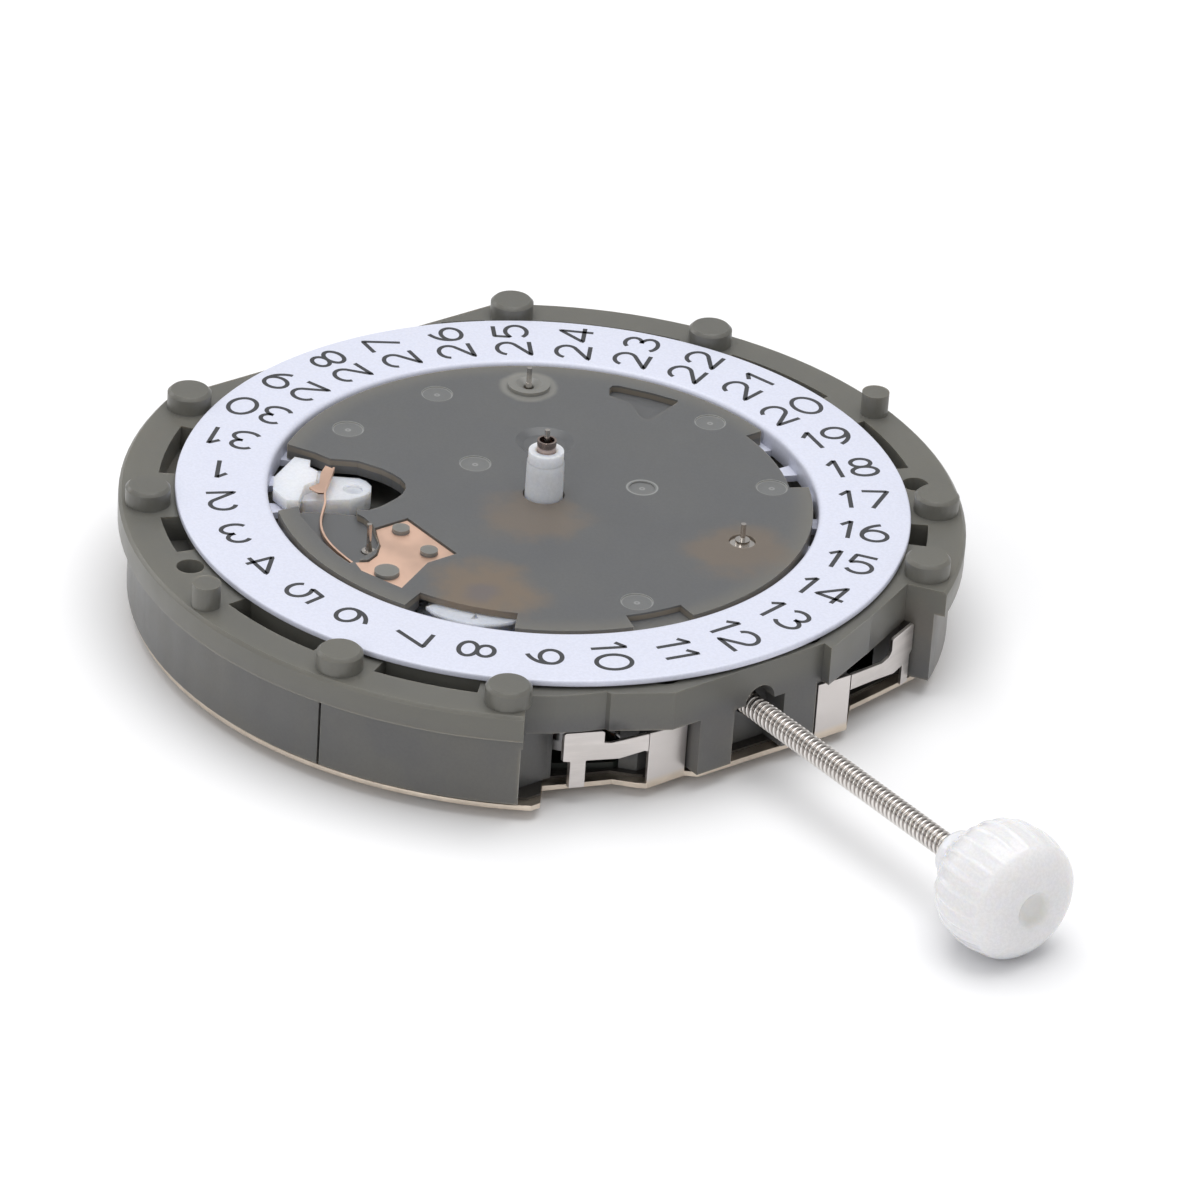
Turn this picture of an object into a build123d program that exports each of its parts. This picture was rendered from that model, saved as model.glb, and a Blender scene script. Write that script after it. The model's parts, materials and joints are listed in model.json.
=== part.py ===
"""Quartz chronograph movement with date ring, sub-dial axles and a cut-to-length stem.

Frame: +X along the stem, towards the crown at 3 o'clock, +Y towards 12 o'clock, +Z towards the
dial. The origin is on the centre axis, at the underside of the back cover. Lengths are in mm.
"""

import os
from math import atan2, cos, degrees, hypot, radians, sin, sqrt

from build123d import *

os.makedirs("parts", exist_ok=True)

# Heights above the underside of the back cover
cover_thickness = 0.20
insulator_thickness = 0.10
board_thickness = 0.25
bridge_bottom = 0.70
bridge_thickness = 0.25
floor_bottom = 2.45
floor_thickness = 0.30
ring_top = 4.42
rim_drop = 0.34
calendar_drop = 0.06
calendar_thickness = 0.60
stem_height = 1.945

body_foot = cover_thickness + insulator_thickness
board_top = body_foot + board_thickness
bridge_top = bridge_bottom + bridge_thickness
floor_top = floor_bottom + floor_thickness
rim_top = ring_top - rim_drop
calendar_top = ring_top - calendar_drop
calendar_bottom = calendar_top - calendar_thickness

# Clearances and one overrun for all cuts
running_clearance = 0.03
face_clearance = 0.05
wheel_clearance = 0.08
overrun = 0.50

# Date ring
ring_outer_radius = 13.45
ring_width = 3.38
ring_inner_radius = ring_outer_radius - ring_width
ring_disc_thickness = 0.25
ring_collar_width = 0.63
ring_depth = 0.97
ring_teeth = 31
ring_tooth_depth = 0.82
ring_tooth_thickness = 0.27
ring_tooth_width = 0.80
ring_tooth_tip_width = 0.45

ring_bottom = ring_top - ring_depth
ring_collar_radius = ring_inner_radius + ring_collar_width
ring_tip_radius = ring_inner_radius - ring_tooth_depth
ring_seat = ring_bottom - face_clearance
well_radius = ring_inner_radius + wheel_clearance
seat_outer_radius = ring_collar_radius + wheel_clearance

# Main plate
rim_margin = 2.05
wall_step = 0.40
wall_thickness = 1.90
flat_cut = 2.05
flange_height = 1.00
crown_side_wall = 1.85
far_side_wall = 0.75
rim_edge_round = 0.12
seam_width = 0.10
seam_depth = 0.45
seam_angle = -67.0
standoff_radius = 0.70
floor_pillar_radius = 0.50

rim_radius = ring_outer_radius + rim_margin
wall_radius = rim_radius - wall_step
cavity_radius = wall_radius - wall_thickness
crown_flat = rim_radius - flat_cut
far_flat = crown_flat
flange_bottom = rim_top - flange_height
cavity_right = crown_flat - crown_side_wall
cavity_left = far_side_wall - far_flat

# Dial seats: wide posts that the dial lies on, and two slim locating posts
seat_post_radius = 0.825
seat_post_height = 0.72
seat_post_inset = 1.05
seat_post_circle = rim_radius - seat_post_inset
seat_post_angles = (148.7, 117.7, 56.6, 37.7, -41.0, -65.7, -120.2, -150.2)
seat_post_round = 0.12
slim_post_radius = 0.515
slim_post_height = 0.90
slim_post_inset = 0.70
slim_post_circle = rim_radius - slim_post_inset
slim_post_angles = (86.5, -90.0)

# Dial feet
foot_hole_radius = 0.50
foot_hole_depth = 2.50
foot_hole_inset = 1.50
foot_hole_circle = rim_radius - foot_hole_inset
foot_hole_angles = (259.5, 64.5)

# Slots in the rim that show beside the date ring: start angle, stop angle
slot_inset = 1.40
slot_overlap = 0.35
slot_outer_radius = rim_radius - slot_inset
slot_inner_radius = ring_outer_radius - slot_overlap
slot_depth = 1.00
slot_angles = ((271.5, 289.0), (299.0, 314.5), (244.5, 255.0), (216.0, 231.0), (45.5, 52.0),
               (69.5, 85.0), (94.0, 113.0), (122.0, 144.0), (153.0, 160.0))
notch_radius = 0.65
notch_angles = (343.0, 10.0)

# Calendar plate
calendar_margin = 0.42
calendar_radius = ring_inner_radius - calendar_margin
calendar_lip = 0.22
calendar_edge_radius = calendar_radius + calendar_lip
edge_step_inset = 0.50
edge_step_radius = calendar_radius - edge_step_inset
edge_step_angles = (62.4, 88.4)
window_cut_inset = 0.85
window_cut_radius = calendar_radius - window_cut_inset
window_cut_angles = (-66.1, -42.1)
front_step_inset = 0.61
front_step_radius = calendar_radius - front_step_inset
front_step_angles = (-17.3, -3.5)
boss_radius = 0.79
boss_hollow_radius = 0.50
boss_bore_radius = 0.20
boss_height = 0.15
boss_circle = 8.20
boss_angle = 147.8
recess_depth = 0.17
pocket_floor = 0.30
deep_recess_floor = 0.30
mark_depth = 0.05
mark_radius = 0.58
dimple_radius = 1.10
dimple_floor_radius = 0.80
dimple_depth = 0.16
stake_height = 0.16

# Modules of the wheels, and tooth form in shares of the module or of the pitch
tip_share = 0.90
root_share = 1.15
tooth_tip_share = 0.26
tooth_root_share = 0.62
gear_thickness = 0.14
thick_gear = 0.16
pinion_overlap = 0.04
pivot_radius = 0.11
arbor_radius = 0.17
bearing_play = 0.03

# Centre: hour pipe outside, minute pipe in it, chronograph seconds arbor inside that
hour_pipe_foot_radius = 0.72
hour_pipe_radius = 0.685
hour_pipe_top = 6.20
hour_pipe_neck_radius = 0.65
hour_pipe_neck_length = 0.45
minute_pipe_foot_radius = 0.37
minute_pipe_radius = 0.355
minute_pipe_top = 6.61
minute_pipe_bore_radius = 0.16
minute_pipe_mouth_radius = 0.28
minute_pipe_mouth_depth = 0.50
chrono_arbor_foot_radius = 0.12
chrono_arbor_radius = 0.10
chrono_arbor_top = 7.02
centre_journal_radius = 0.42

# Sub-dial arbors at 2, 6 and 10 o'clock
day_axle_place = (6.52, 4.16)
day_axle_radius = 0.10
day_axle_top = 5.08
day_collar_radius = 0.46
day_collar_drop = 0.08
day_shoulder_radius = 0.27
day_shoulder_height = 0.08
seconds_axle_place = (-0.20, -7.65)
seconds_axle_radius = 0.09
seconds_axle_top = 5.20
seconds_collar_radius = 0.25
seconds_collar_height = 0.56
seconds_collar_top = calendar_bottom + pocket_floor + face_clearance
seconds_root_radius = 0.14
seconds_seat_start = calendar_top + face_clearance
counter_axle_radius = 0.10
counter_axle_top = 5.17
counter_shoulder_radius = 0.12

# Going train: tooth counts and modules
rotor_teeth = 8
intermediate_teeth = 48
intermediate_pinion_teeth = 8
seconds_teeth = 40
seconds_pinion_teeth = 8
third_teeth = 80
third_pinion_teeth = 10
minute_teeth = 60
rotor_module = 0.060
intermediate_module = 0.070
third_module = 0.0855
minute_module = 0.1117
intermediate_bearing = -40.0
rotor_bearing = -20.0

# Chronograph train
chrono_rotor_teeth = 8
chrono_intermediate_teeth = 32
chrono_intermediate_pinion_teeth = 8
chrono_seconds_teeth = 60
chrono_pinion_teeth = 8
counter_intermediate_teeth = 60
counter_intermediate_pinion_teeth = 8
counter_teeth = 64
chrono_rotor_module = 0.070
chrono_module = 0.060
counter_module = 0.120
chrono_intermediate_bearing = 60.0
chrono_rotor_bearing = 75.0

# Motion work and calendar work
cannon_teeth = 10
motion_wheel_teeth = 30
motion_pinion_teeth = 10
hour_teeth = 40
calendar_pinion_teeth = 22
date_idler_teeth = 42
date_driver_teeth = 44
day_idler_teeth = 48
day_teeth = 44
setting_teeth = 18
cannon_module = 0.100
hour_module = 0.080
calendar_module = 0.100
date_driver_place = (4.20, -5.80)
setting_wheel_reach = 4.30
finger_width = 0.55
finger_thickness = 0.25
driver_plate_radius = 1.90
driver_flange_radius = 2.35
driver_flange_thickness = 0.14
driver_flange_drop = 0.43
driver_flange_gap = (-140.0, -93.0)
driver_mark_shares = ((0.500, -0.477), (0.600, -0.626), (0.664, -0.519))
driver_recess_depth = 0.34
wheel_post_radius = 0.30

# Layer heights: the underside of each wheel
seconds_layer = 1.05
intermediate_layer = 1.32
third_layer = 1.58
minute_layer = 2.22
chrono_seconds_layer = 1.10
chrono_intermediate_layer = 1.55
counter_intermediate_layer = 1.80
counter_layer = 1.36
motion_layer = 2.80
hour_layer = 3.02
calendar_layer = 3.22

# Motors
rotor_magnet_radius = 0.80
rotor_magnet_bottom = 1.52
rotor_magnet_height = 0.58
stator_bottom = 1.60
stator_thickness = 0.40
stator_hole_radius = 0.95
stator_lobe_radius = 1.30
stator_arm_width = 1.00
chrono_magnet_radius = 0.60
chrono_magnet_bottom = 1.05
chrono_magnet_height = 0.45
chrono_stator_bottom = 1.10
chrono_stator_thickness = 0.35
chrono_stator_hole_radius = 0.72
chrono_stator_lobe_radius = 0.98
winding_length = 6.20
coil_end_margin = 1.20
coil_core_length = winding_length + 2 * coil_end_margin
coil_core_width = 0.90
coil_core_thickness = 0.40
coil_tab_width = 1.30
coil_tab_length = 1.00
winding_radius = 0.72
winding_end_thickness = 0.22
winding_end_radius = 0.80
coil_inset = 1.60
coil_circle = cavity_radius - coil_inset
coil_angle = -50.0
chrono_coil_inset = 3.60
chrono_coil_circle = cavity_radius - chrono_coil_inset
chrono_coil_angle = 78.0

# Power and electronics
battery_radius = 3.95
battery_height = 2.05
battery_bottom = 0.05
battery_cap_radius = 3.30
battery_cap_height = 0.25
battery_side_gap = 0.75
battery_place = (cavity_left + battery_radius + battery_side_gap, -3.60)
battery_hatch_gap = 0.12
contact_thickness = 0.10
contact_width = 0.80
contact_leg_place = (-4.60, -9.60)
clamp_thickness = 0.12
clamp_height = 1.10
clamp_start_angle = 20.0
clamp_sweep = 80.0
board_inner_radius = 5.20
board_inset = 0.60
board_outer_radius = cavity_radius - board_inset
board_start_angle = -120.0
board_sweep = 245.0
crystal_radius = 0.72
crystal_length = 4.60
crystal_inset = 2.70
crystal_place = (cavity_right - crystal_inset, -4.20)
crystal_lead_length = 0.80
crystal_lead_radius = 0.12
chip_side = 2.30
chip_thickness = 0.40
chip_inset = 2.40
chip_circle = board_outer_radius - chip_inset
chip_angle = 30.0

# Train bridge
bridge_pad_radius = 0.90
bridge_standoffs = ((4.90, -3.20), (-3.10, -8.90), (-3.50, 8.30))
bridge_screw_radius = 0.30
bridge_screw_head_radius = 0.55
bridge_screw_head_height = 0.14
bridge_screw_length = 1.20

# Back cover
cover_margin = 0.11
cover_radius = wall_radius - cover_margin
upstand_thickness = 0.15
insulator_margin = 0.45
cover_screw_radius = 0.35
cover_screw_head_radius = 0.70
cover_screw_length = 1.60
cover_screw_inset = 0.84
cover_screw_circle = cover_radius - cover_screw_inset
cover_screw_angles = (105.0, 225.0, -52.0)

# Stem, crown and keyless works
stem_radius = 0.45
stem_pilot_radius = 0.25
stem_pilot_start = 3.75
stem_square_start = 5.80
stem_square_side = 0.62
stem_square_end = 8.90
stem_groove_start = 9.50
stem_groove_width = 0.40
stem_groove_radius = 0.25
thread_inset = 1.05
thread_start = crown_flat - thread_inset
thread_end = 25.50
thread_pitch = 0.225
thread_depth = 0.10
bearing_length = 0.45
bearing_start = cavity_right - bearing_length
opening_depth = 1.05
opening_low = -1.35
opening_high = 0.90
opening_height = 2.52
pinion_start = 6.00
pinion_length = 1.90
pinion_radius = 0.90
pinion_groove_start = 6.90
pinion_groove_width = 0.40
pinion_groove_radius = 0.62
pinion_teeth = 12
pinion_tooth_length = 0.30
pinion_tooth_gap = 0.24
pilot_block_start = 3.72
pilot_block_length = 1.20
pilot_block_width = 1.60
bearing_block_width = 2.60
lever_bottom = 1.10
lever_thickness = 0.20
lever_inset = 1.45
lever_pivot = (cavity_right - lever_inset, 2.90)
lever_width = 0.90
lever_pin_radius = 0.15
lever_pivot_radius = 0.30
lever_tail = (9.20, 4.60)
yoke_width = 1.45
yoke_length = 2.20
yoke_prong_width = 0.20
yoke_slot_travel = 0.35
yoke_pin_radius = 0.22
crown_start = 24.05
crown_length = 4.45
crown_radius = 2.37
crown_rib_count = 20
crown_rib_radius = 0.16
crown_rib_circle = 2.18
crown_rib_start = 1.50
crown_rib_length = 1.00
crown_bore_length = 1.60

# Pusher springs at 4 and 2 o'clock, cut from the back cover's sheet
spring_thickness = 0.15
spring_gap = 0.03
pocket_top = 2.56

# Date jumper and its spring
jumper_nose_bottom = 3.45
jumper_nose_thickness = 0.27
jumper_bottom = 3.10
jumper_body_top = 3.83
jumper_head_bottom = 3.77
jumper_head_top = 4.25
jumper_pivot_radius = 0.33
jumper_pivot_cap = 0.25
jumper_hollow_radius = 0.38
jumper_hollow_depth = 0.12
spring_plate_thickness = 0.10
spring_strip_thickness = 0.08
spring_strip_bottom = 4.11
spring_strip_top = 4.29


def at_angle(radius, angle):
    """Point at a radius and an angle in degrees."""
    return radius * cos(radians(angle)), radius * sin(radians(angle))


def step_from(start, reach, angle):
    """Point at a reach from start, along an angle in degrees."""
    return start[0] + reach * cos(radians(angle)), start[1] + reach * sin(radians(angle))


def bearing(start, end):
    """Angle in degrees of the line from start to end."""
    return degrees(atan2(end[1] - start[1], end[0] - start[0]))


def meeting_point(start, end, start_reach, end_reach, side):
    """Point at start_reach from start and end_reach from end, on the left (1) or right (-1)."""
    span = hypot(end[0] - start[0], end[1] - start[1])
    along = (start_reach**2 - end_reach**2 + span**2) / (2 * span)
    across = sqrt(max(start_reach**2 - along**2, 0))
    line = bearing(start, end)
    return step_from(step_from(start, along, line), side * across, line + 90)


def reach(first_teeth, second_teeth, module):
    """Centre distance of two meshing wheels."""
    return (first_teeth + second_teeth) * module / 2


def meshed_phase(first_phase, first_teeth, line, second_teeth):
    """Phase of a wheel that meshes with another, whose centre lies at angle line from it."""
    return line + 180 - (first_phase - line) * first_teeth / second_teeth - 180 / second_teeth


def gear_face(teeth, module, phase):
    """Outline of a toothed wheel, with one tooth centred at the angle phase."""
    pitch_radius = teeth * module / 2
    tip = pitch_radius + tip_share * module
    root = pitch_radius - root_share * module
    pitch = 360 / teeth
    corners = []
    for index in range(teeth):
        middle = phase + index * pitch
        corners.append(at_angle(root, middle - pitch * tooth_root_share / 2))
        corners.append(at_angle(tip, middle - pitch * tooth_tip_share / 2))
        corners.append(at_angle(tip, middle + pitch * tooth_tip_share / 2))
        corners.append(at_angle(root, middle + pitch * tooth_root_share / 2))
    with BuildSketch() as outline:
        with BuildLine():
            Polyline(*corners, close=True)
        make_face()
    return outline.sketch


def ring_sector(inner, outer, start, stop):
    """Part of a flat ring between two angles in degrees."""
    with BuildSketch() as outline:
        with BuildLine():
            outside = CenterArc((0, 0), outer, start, stop - start)
            inside = CenterArc((0, 0), inner, start, stop - start)
            Line(outside @ 0, inside @ 0)
            Line(outside @ 1, inside @ 1)
        make_face()
    return outline.sketch


def scaled(shares, size):
    """Outline points written as shares of one size."""
    return [(x * size, y * size) for x, y in shares]


# Places of the wheels, from their centre distances
centre = (0, 0)
counter_axle_place = at_angle(boss_circle, boss_angle)
third_place = meeting_point(
    seconds_axle_place, centre,
    reach(seconds_pinion_teeth, third_teeth, third_module),
    reach(third_pinion_teeth, minute_teeth, minute_module), -1)
intermediate_place = step_from(
    seconds_axle_place,
    reach(intermediate_pinion_teeth, seconds_teeth, intermediate_module), intermediate_bearing)
rotor_place = step_from(
    intermediate_place, reach(rotor_teeth, intermediate_teeth, rotor_module), rotor_bearing)
chrono_intermediate_place = step_from(
    centre, reach(chrono_intermediate_pinion_teeth, chrono_seconds_teeth, chrono_module),
    chrono_intermediate_bearing)
chrono_rotor_place = step_from(
    chrono_intermediate_place,
    reach(chrono_rotor_teeth, chrono_intermediate_teeth, chrono_rotor_module),
    chrono_rotor_bearing)
counter_intermediate_place = meeting_point(
    centre, counter_axle_place,
    reach(chrono_pinion_teeth, counter_intermediate_teeth, counter_module),
    reach(counter_intermediate_pinion_teeth, counter_teeth, counter_module), -1)
setting_place = (setting_wheel_reach, 0)
motion_place = meeting_point(
    centre, setting_place, reach(cannon_teeth, motion_wheel_teeth, cannon_module),
    reach(motion_wheel_teeth, setting_teeth, cannon_module), 1)
date_idler_place = meeting_point(
    centre, date_driver_place, reach(calendar_pinion_teeth, date_idler_teeth, calendar_module),
    reach(date_idler_teeth, date_driver_teeth, calendar_module), -1)
day_idler_place = meeting_point(
    centre, day_axle_place, reach(calendar_pinion_teeth, day_idler_teeth, calendar_module),
    reach(day_idler_teeth, day_teeth, calendar_module), 1)

# Phases, so that every pair is in mesh at rest
seconds_phase = 0.0
third_phase = meshed_phase(seconds_phase, seconds_pinion_teeth,
                           bearing(seconds_axle_place, third_place), third_teeth)
minute_phase = meshed_phase(third_phase, third_pinion_teeth,
                            bearing(third_place, centre), minute_teeth)
intermediate_phase = meshed_phase(seconds_phase, seconds_teeth,
                                  bearing(seconds_axle_place, intermediate_place),
                                  intermediate_pinion_teeth)
rotor_phase = meshed_phase(intermediate_phase, intermediate_teeth,
                           bearing(intermediate_place, rotor_place), rotor_teeth)
chrono_phase = 0.0
chrono_intermediate_phase = meshed_phase(chrono_phase, chrono_seconds_teeth,
                                         bearing(centre, chrono_intermediate_place),
                                         chrono_intermediate_pinion_teeth)
chrono_rotor_phase = meshed_phase(chrono_intermediate_phase, chrono_intermediate_teeth,
                                  bearing(chrono_intermediate_place, chrono_rotor_place),
                                  chrono_rotor_teeth)
counter_intermediate_phase = meshed_phase(chrono_phase, chrono_pinion_teeth,
                                          bearing(centre, counter_intermediate_place),
                                          counter_intermediate_teeth)
counter_phase = meshed_phase(counter_intermediate_phase, counter_intermediate_pinion_teeth,
                             bearing(counter_intermediate_place, counter_axle_place),
                             counter_teeth)
motion_phase = meshed_phase(minute_phase, cannon_teeth, bearing(centre, motion_place),
                            motion_wheel_teeth)
hour_phase = meshed_phase(motion_phase, motion_pinion_teeth, bearing(motion_place, centre),
                          hour_teeth)
setting_phase = meshed_phase(motion_phase, motion_wheel_teeth,
                             bearing(motion_place, setting_place), setting_teeth)
date_idler_phase = meshed_phase(hour_phase, calendar_pinion_teeth,
                                bearing(centre, date_idler_place), date_idler_teeth)
date_driver_phase = meshed_phase(date_idler_phase, date_idler_teeth,
                                 bearing(date_idler_place, date_driver_place),
                                 date_driver_teeth)
day_idler_phase = meshed_phase(hour_phase, calendar_pinion_teeth,
                               bearing(centre, day_idler_place), day_idler_teeth)
day_phase = meshed_phase(day_idler_phase, day_idler_teeth,
                         bearing(day_idler_place, day_axle_place), day_teeth)

stem_plane = Plane(origin=(0, 0, stem_height), x_dir=(0, 1, 0), z_dir=(1, 0, 0))


def across_stem(distance):
    """Plane square to the stem, at a distance along it. Its x is +Y and its y is +Z."""
    return stem_plane.offset(distance)


# Outline of the crown side, in shares of the rim radius, from 4 to 2 o'clock
crown_side_shares = ((0.833, -0.663), (0.707, -0.563), (0.742, -0.505), (0.768, -0.445),
                     (0.785, -0.395), (0.797, -0.392))
crown_side_far_shares = ((0.895, 0.163), (0.826, 0.335), (0.753, 0.499), (0.890, 0.590),
                         (1.200, 0.590), (1.200, -0.663))
flat_low_share = -0.265
flat_high_share = 0.163
low_pocket_shares = ((1.400, -0.212), (0.900, -0.212), (0.900, -0.335), (0.833, -0.394),
                     (0.810, -0.565), (0.810, -0.703), (1.400, -0.703))
high_pocket_shares = ((1.400, 0.175), (0.900, 0.175), (0.900, 0.320), (0.855, 0.409),
                      (0.840, 0.587), (1.400, 0.587))

# Edge of the back cover on the crown side, from 4 to 2 o'clock, in shares of the crown flat
cover_side_shares = ((0.890, -0.640), (0.825, -0.587), (0.892, -0.409), (0.941, -0.364),
                     (0.957, -0.3435), (0.957, -0.219), (0.981, -0.193), (0.989, 0.178),
                     (0.994, 0.186), (0.994, 0.296), (0.922, 0.364), (0.903, 0.487),
                     (0.877, 0.643), (0.930, 0.700), (0.930, 1.300), (-0.994, 1.300),
                     (-0.994, -1.300), (0.890, -1.300))

# Plan of the two pusher springs: the knee, where the upright sheet turns inward, and its end
low_knee_share = (0.957, -0.3435)
low_end_share = (0.860, -0.570)
high_knee_share = (0.994, 0.296)
high_end_share = (0.8945, 0.600)

# Profile of the crown: along its length, and out from its axis, in shares of length and radius
crown_profile_shares = ((0, 0), (0, 0.30), (0.02, 0.36), (0.06, 0.39), (0.11, 0.40),
                        (0.16, 0.46), (0.21, 0.59), (0.27, 0.74), (0.35, 0.88), (0.45, 0.965),
                        (0.56, 0.995), (0.67, 1.00), (0.77, 0.975), (0.86, 0.92),
                        (0.93, 0.82), (0.98, 0.68), (1.00, 0.48), (0.995, 0.30),
                        (0.975, 0.25), (0.955, 0.18), (0.95, 0))

floor_pillars_shares = ((-0.518, 0.083), (0.819, -0.176), (-0.155, 0.705), (-0.185, -0.660))
floor_pillar_places = scaled(floor_pillars_shares, calendar_radius)
jumper_pivot_share = (-0.475, -0.544)
jumper_pivot = (jumper_pivot_share[0] * calendar_radius, jumper_pivot_share[1] * calendar_radius)

with BuildPart() as main_plate:
    with BuildSketch(Plane.XY.offset(body_foot)):
        Circle(wall_radius)
    extrude(amount=flange_bottom - body_foot)
    with BuildSketch(Plane.XY.offset(flange_bottom)):
        Circle(rim_radius)
    extrude(amount=flange_height)
    chamfer(main_plate.edges().group_by(Axis.Z)[-1], rim_edge_round)
    # Dial-side well for the motion work, and the step that the date ring's collar runs over
    with BuildSketch(Plane.XY.offset(floor_top)):
        Circle(well_radius)
    extrude(amount=rim_top - floor_top, mode=Mode.SUBTRACT)
    with BuildSketch(Plane.XY.offset(ring_seat)):
        Circle(seat_outer_radius)
    extrude(amount=rim_top - ring_seat, mode=Mode.SUBTRACT)
    # Back-side cavity for the trains, the motors and the battery
    with BuildSketch(Plane.XY.offset(body_foot)):
        Circle(cavity_radius)
        with BuildSketch(mode=Mode.PRIVATE) as cavity_limit:
            with Locations(((cavity_left + cavity_right) / 2, 0)):
                Rectangle(cavity_right - cavity_left, 2 * rim_radius)
        add(cavity_limit.sketch, mode=Mode.INTERSECT)
    extrude(amount=floor_bottom - body_foot, mode=Mode.SUBTRACT)
    # Flats and outline of the two sides
    with BuildSketch(Plane.XY.offset(body_foot - overrun)):
        with BuildLine():
            Polyline(*scaled(crown_side_shares, rim_radius),
                     (crown_flat, flat_low_share * rim_radius),
                     (crown_flat, flat_high_share * rim_radius),
                     *scaled(crown_side_far_shares, rim_radius), close=True)
        make_face()
        with Locations((-far_flat - rim_radius / 2, 0)):
            Rectangle(rim_radius, 2 * rim_radius)
    extrude(amount=rim_top - body_foot + 2 * overrun, mode=Mode.SUBTRACT)
    # Pockets for the pusher springs
    with BuildSketch(Plane.XY.offset(body_foot - overrun)):
        for pocket in (low_pocket_shares, high_pocket_shares):
            with BuildLine():
                Polyline(*scaled(pocket, crown_flat), close=True)
            make_face()
    extrude(amount=pocket_top - body_foot + overrun, mode=Mode.SUBTRACT)
    # Opening for the stem in the crown side, with a round lead-in above it
    with BuildSketch(Plane(origin=(crown_flat - opening_depth, 0, 0), x_dir=(0, 1, 0),
                           z_dir=(1, 0, 0))):
        with Locations(((opening_low + opening_high) / 2, opening_height / 2)):
            Rectangle(opening_high - opening_low, opening_height)
        with Locations(((opening_low + opening_high) / 2, opening_height)):
            Circle(notch_radius)
    extrude(amount=opening_depth + overrun, mode=Mode.SUBTRACT)
    # Bearing blocks of the stem
    with BuildSketch(across_stem(bearing_start)):
        with Locations((0, (bridge_top + floor_top) / 2 - stem_height)):
            Rectangle(bearing_block_width, floor_top - bridge_top)
    extrude(amount=cavity_right - bearing_start)
    with BuildSketch(across_stem(pilot_block_start)):
        with Locations((0, (bridge_top + floor_top) / 2 - stem_height)):
            Rectangle(pilot_block_width, floor_top - bridge_top)
    extrude(amount=pilot_block_length)
    with BuildSketch(across_stem(pilot_block_start - overrun)):
        Circle(stem_pilot_radius + running_clearance)
    extrude(amount=pilot_block_length + 2 * overrun, mode=Mode.SUBTRACT)
    with BuildSketch(across_stem(bearing_start - overrun)):
        Circle(stem_radius + running_clearance)
    extrude(amount=crown_flat - bearing_start + 2 * overrun, mode=Mode.SUBTRACT)
    # Opening in the floor over the sliding pinion
    with BuildSketch(Plane.XY.offset(floor_bottom - overrun)):
        with Locations((pinion_start - yoke_slot_travel + pinion_length / 2, 0)):
            Rectangle(pinion_length + 2 * yoke_slot_travel + 2 * wheel_clearance,
                      2 * (pinion_radius + face_clearance))
    extrude(amount=floor_thickness + overrun, mode=Mode.SUBTRACT)
    # Standoffs of the train bridge, and pins of the lever and the yoke
    with BuildSketch(Plane.XY.offset(bridge_top)):
        with Locations(*bridge_standoffs):
            Circle(standoff_radius)
    extrude(amount=floor_bottom - bridge_top)
    with BuildSketch(Plane.XY.offset(lever_bottom - face_clearance)):
        with Locations(lever_pivot):
            Circle(lever_pivot_radius - running_clearance)
        with Locations((pinion_groove_start + pinion_groove_width,
                        -pinion_radius - yoke_width / 2)):
            Circle(yoke_pin_radius)
    extrude(amount=floor_bottom - lever_bottom + face_clearance)
    # Posts on the floor: pillars under the calendar plate, and posts of the idle wheels
    with BuildSketch(Plane.XY.offset(floor_top)):
        with Locations(*floor_pillar_places):
            Circle(floor_pillar_radius)
    extrude(amount=calendar_bottom - floor_top)
    with BuildSketch(Plane.XY.offset(floor_top)):
        with Locations(date_idler_place, day_idler_place, date_driver_place):
            Circle(wheel_post_radius)
    extrude(amount=calendar_layer + thick_gear - floor_top)
    with BuildSketch(Plane.XY.offset(floor_top)):
        with Locations(motion_place, setting_place):
            Circle(wheel_post_radius / 2)
    extrude(amount=hour_layer + gear_thickness - floor_top)
    with BuildSketch(Plane.XY.offset(floor_top)):
        with Locations(jumper_pivot):
            Circle(jumper_pivot_radius - running_clearance)
    extrude(amount=jumper_body_top - jumper_pivot_cap - face_clearance - floor_top)
    # Bearings in the floor
    with BuildSketch(Plane.XY.offset(floor_bottom - overrun)):
        with Locations(third_place, intermediate_place, rotor_place, chrono_intermediate_place,
                       chrono_rotor_place, counter_intermediate_place):
            Circle(pivot_radius + bearing_play)
        with Locations(seconds_axle_place, counter_axle_place):
            Circle(arbor_radius + bearing_play)
        with Locations(centre):
            Circle(centre_journal_radius + bearing_play)
        with Locations(day_axle_place):
            Circle(pivot_radius + bearing_play)
    extrude(amount=floor_thickness + overrun, mode=Mode.SUBTRACT)
    # Slots and notches beside the date ring
    with BuildSketch(Plane.XY.offset(rim_top - slot_depth)):
        for start, stop in slot_angles:
            add(ring_sector(slot_inner_radius, slot_outer_radius, start, stop))
        with Locations(*[at_angle(ring_outer_radius - notch_radius, a) for a in notch_angles]):
            Circle(notch_radius)
    extrude(amount=slot_depth + overrun, mode=Mode.SUBTRACT)
    # Dial seats, locating posts and dial-foot holes
    with BuildSketch(Plane.XY.offset(rim_top)):
        with Locations(*[at_angle(seat_post_circle, a) for a in seat_post_angles]):
            Circle(seat_post_radius)
    extrude(amount=seat_post_height)
    chamfer(main_plate.edges().group_by(Axis.Z)[-1], seat_post_round)
    with BuildSketch(Plane.XY.offset(rim_top)):
        with Locations(*[at_angle(slim_post_circle, a) for a in slim_post_angles]):
            Circle(slim_post_radius)
    extrude(amount=slim_post_height)
    with BuildSketch(Plane.XY.offset(rim_top - foot_hole_depth)):
        with Locations(*[at_angle(foot_hole_circle, a) for a in foot_hole_angles]):
            Circle(foot_hole_radius)
    extrude(amount=foot_hole_depth + overrun, mode=Mode.SUBTRACT)
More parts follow.
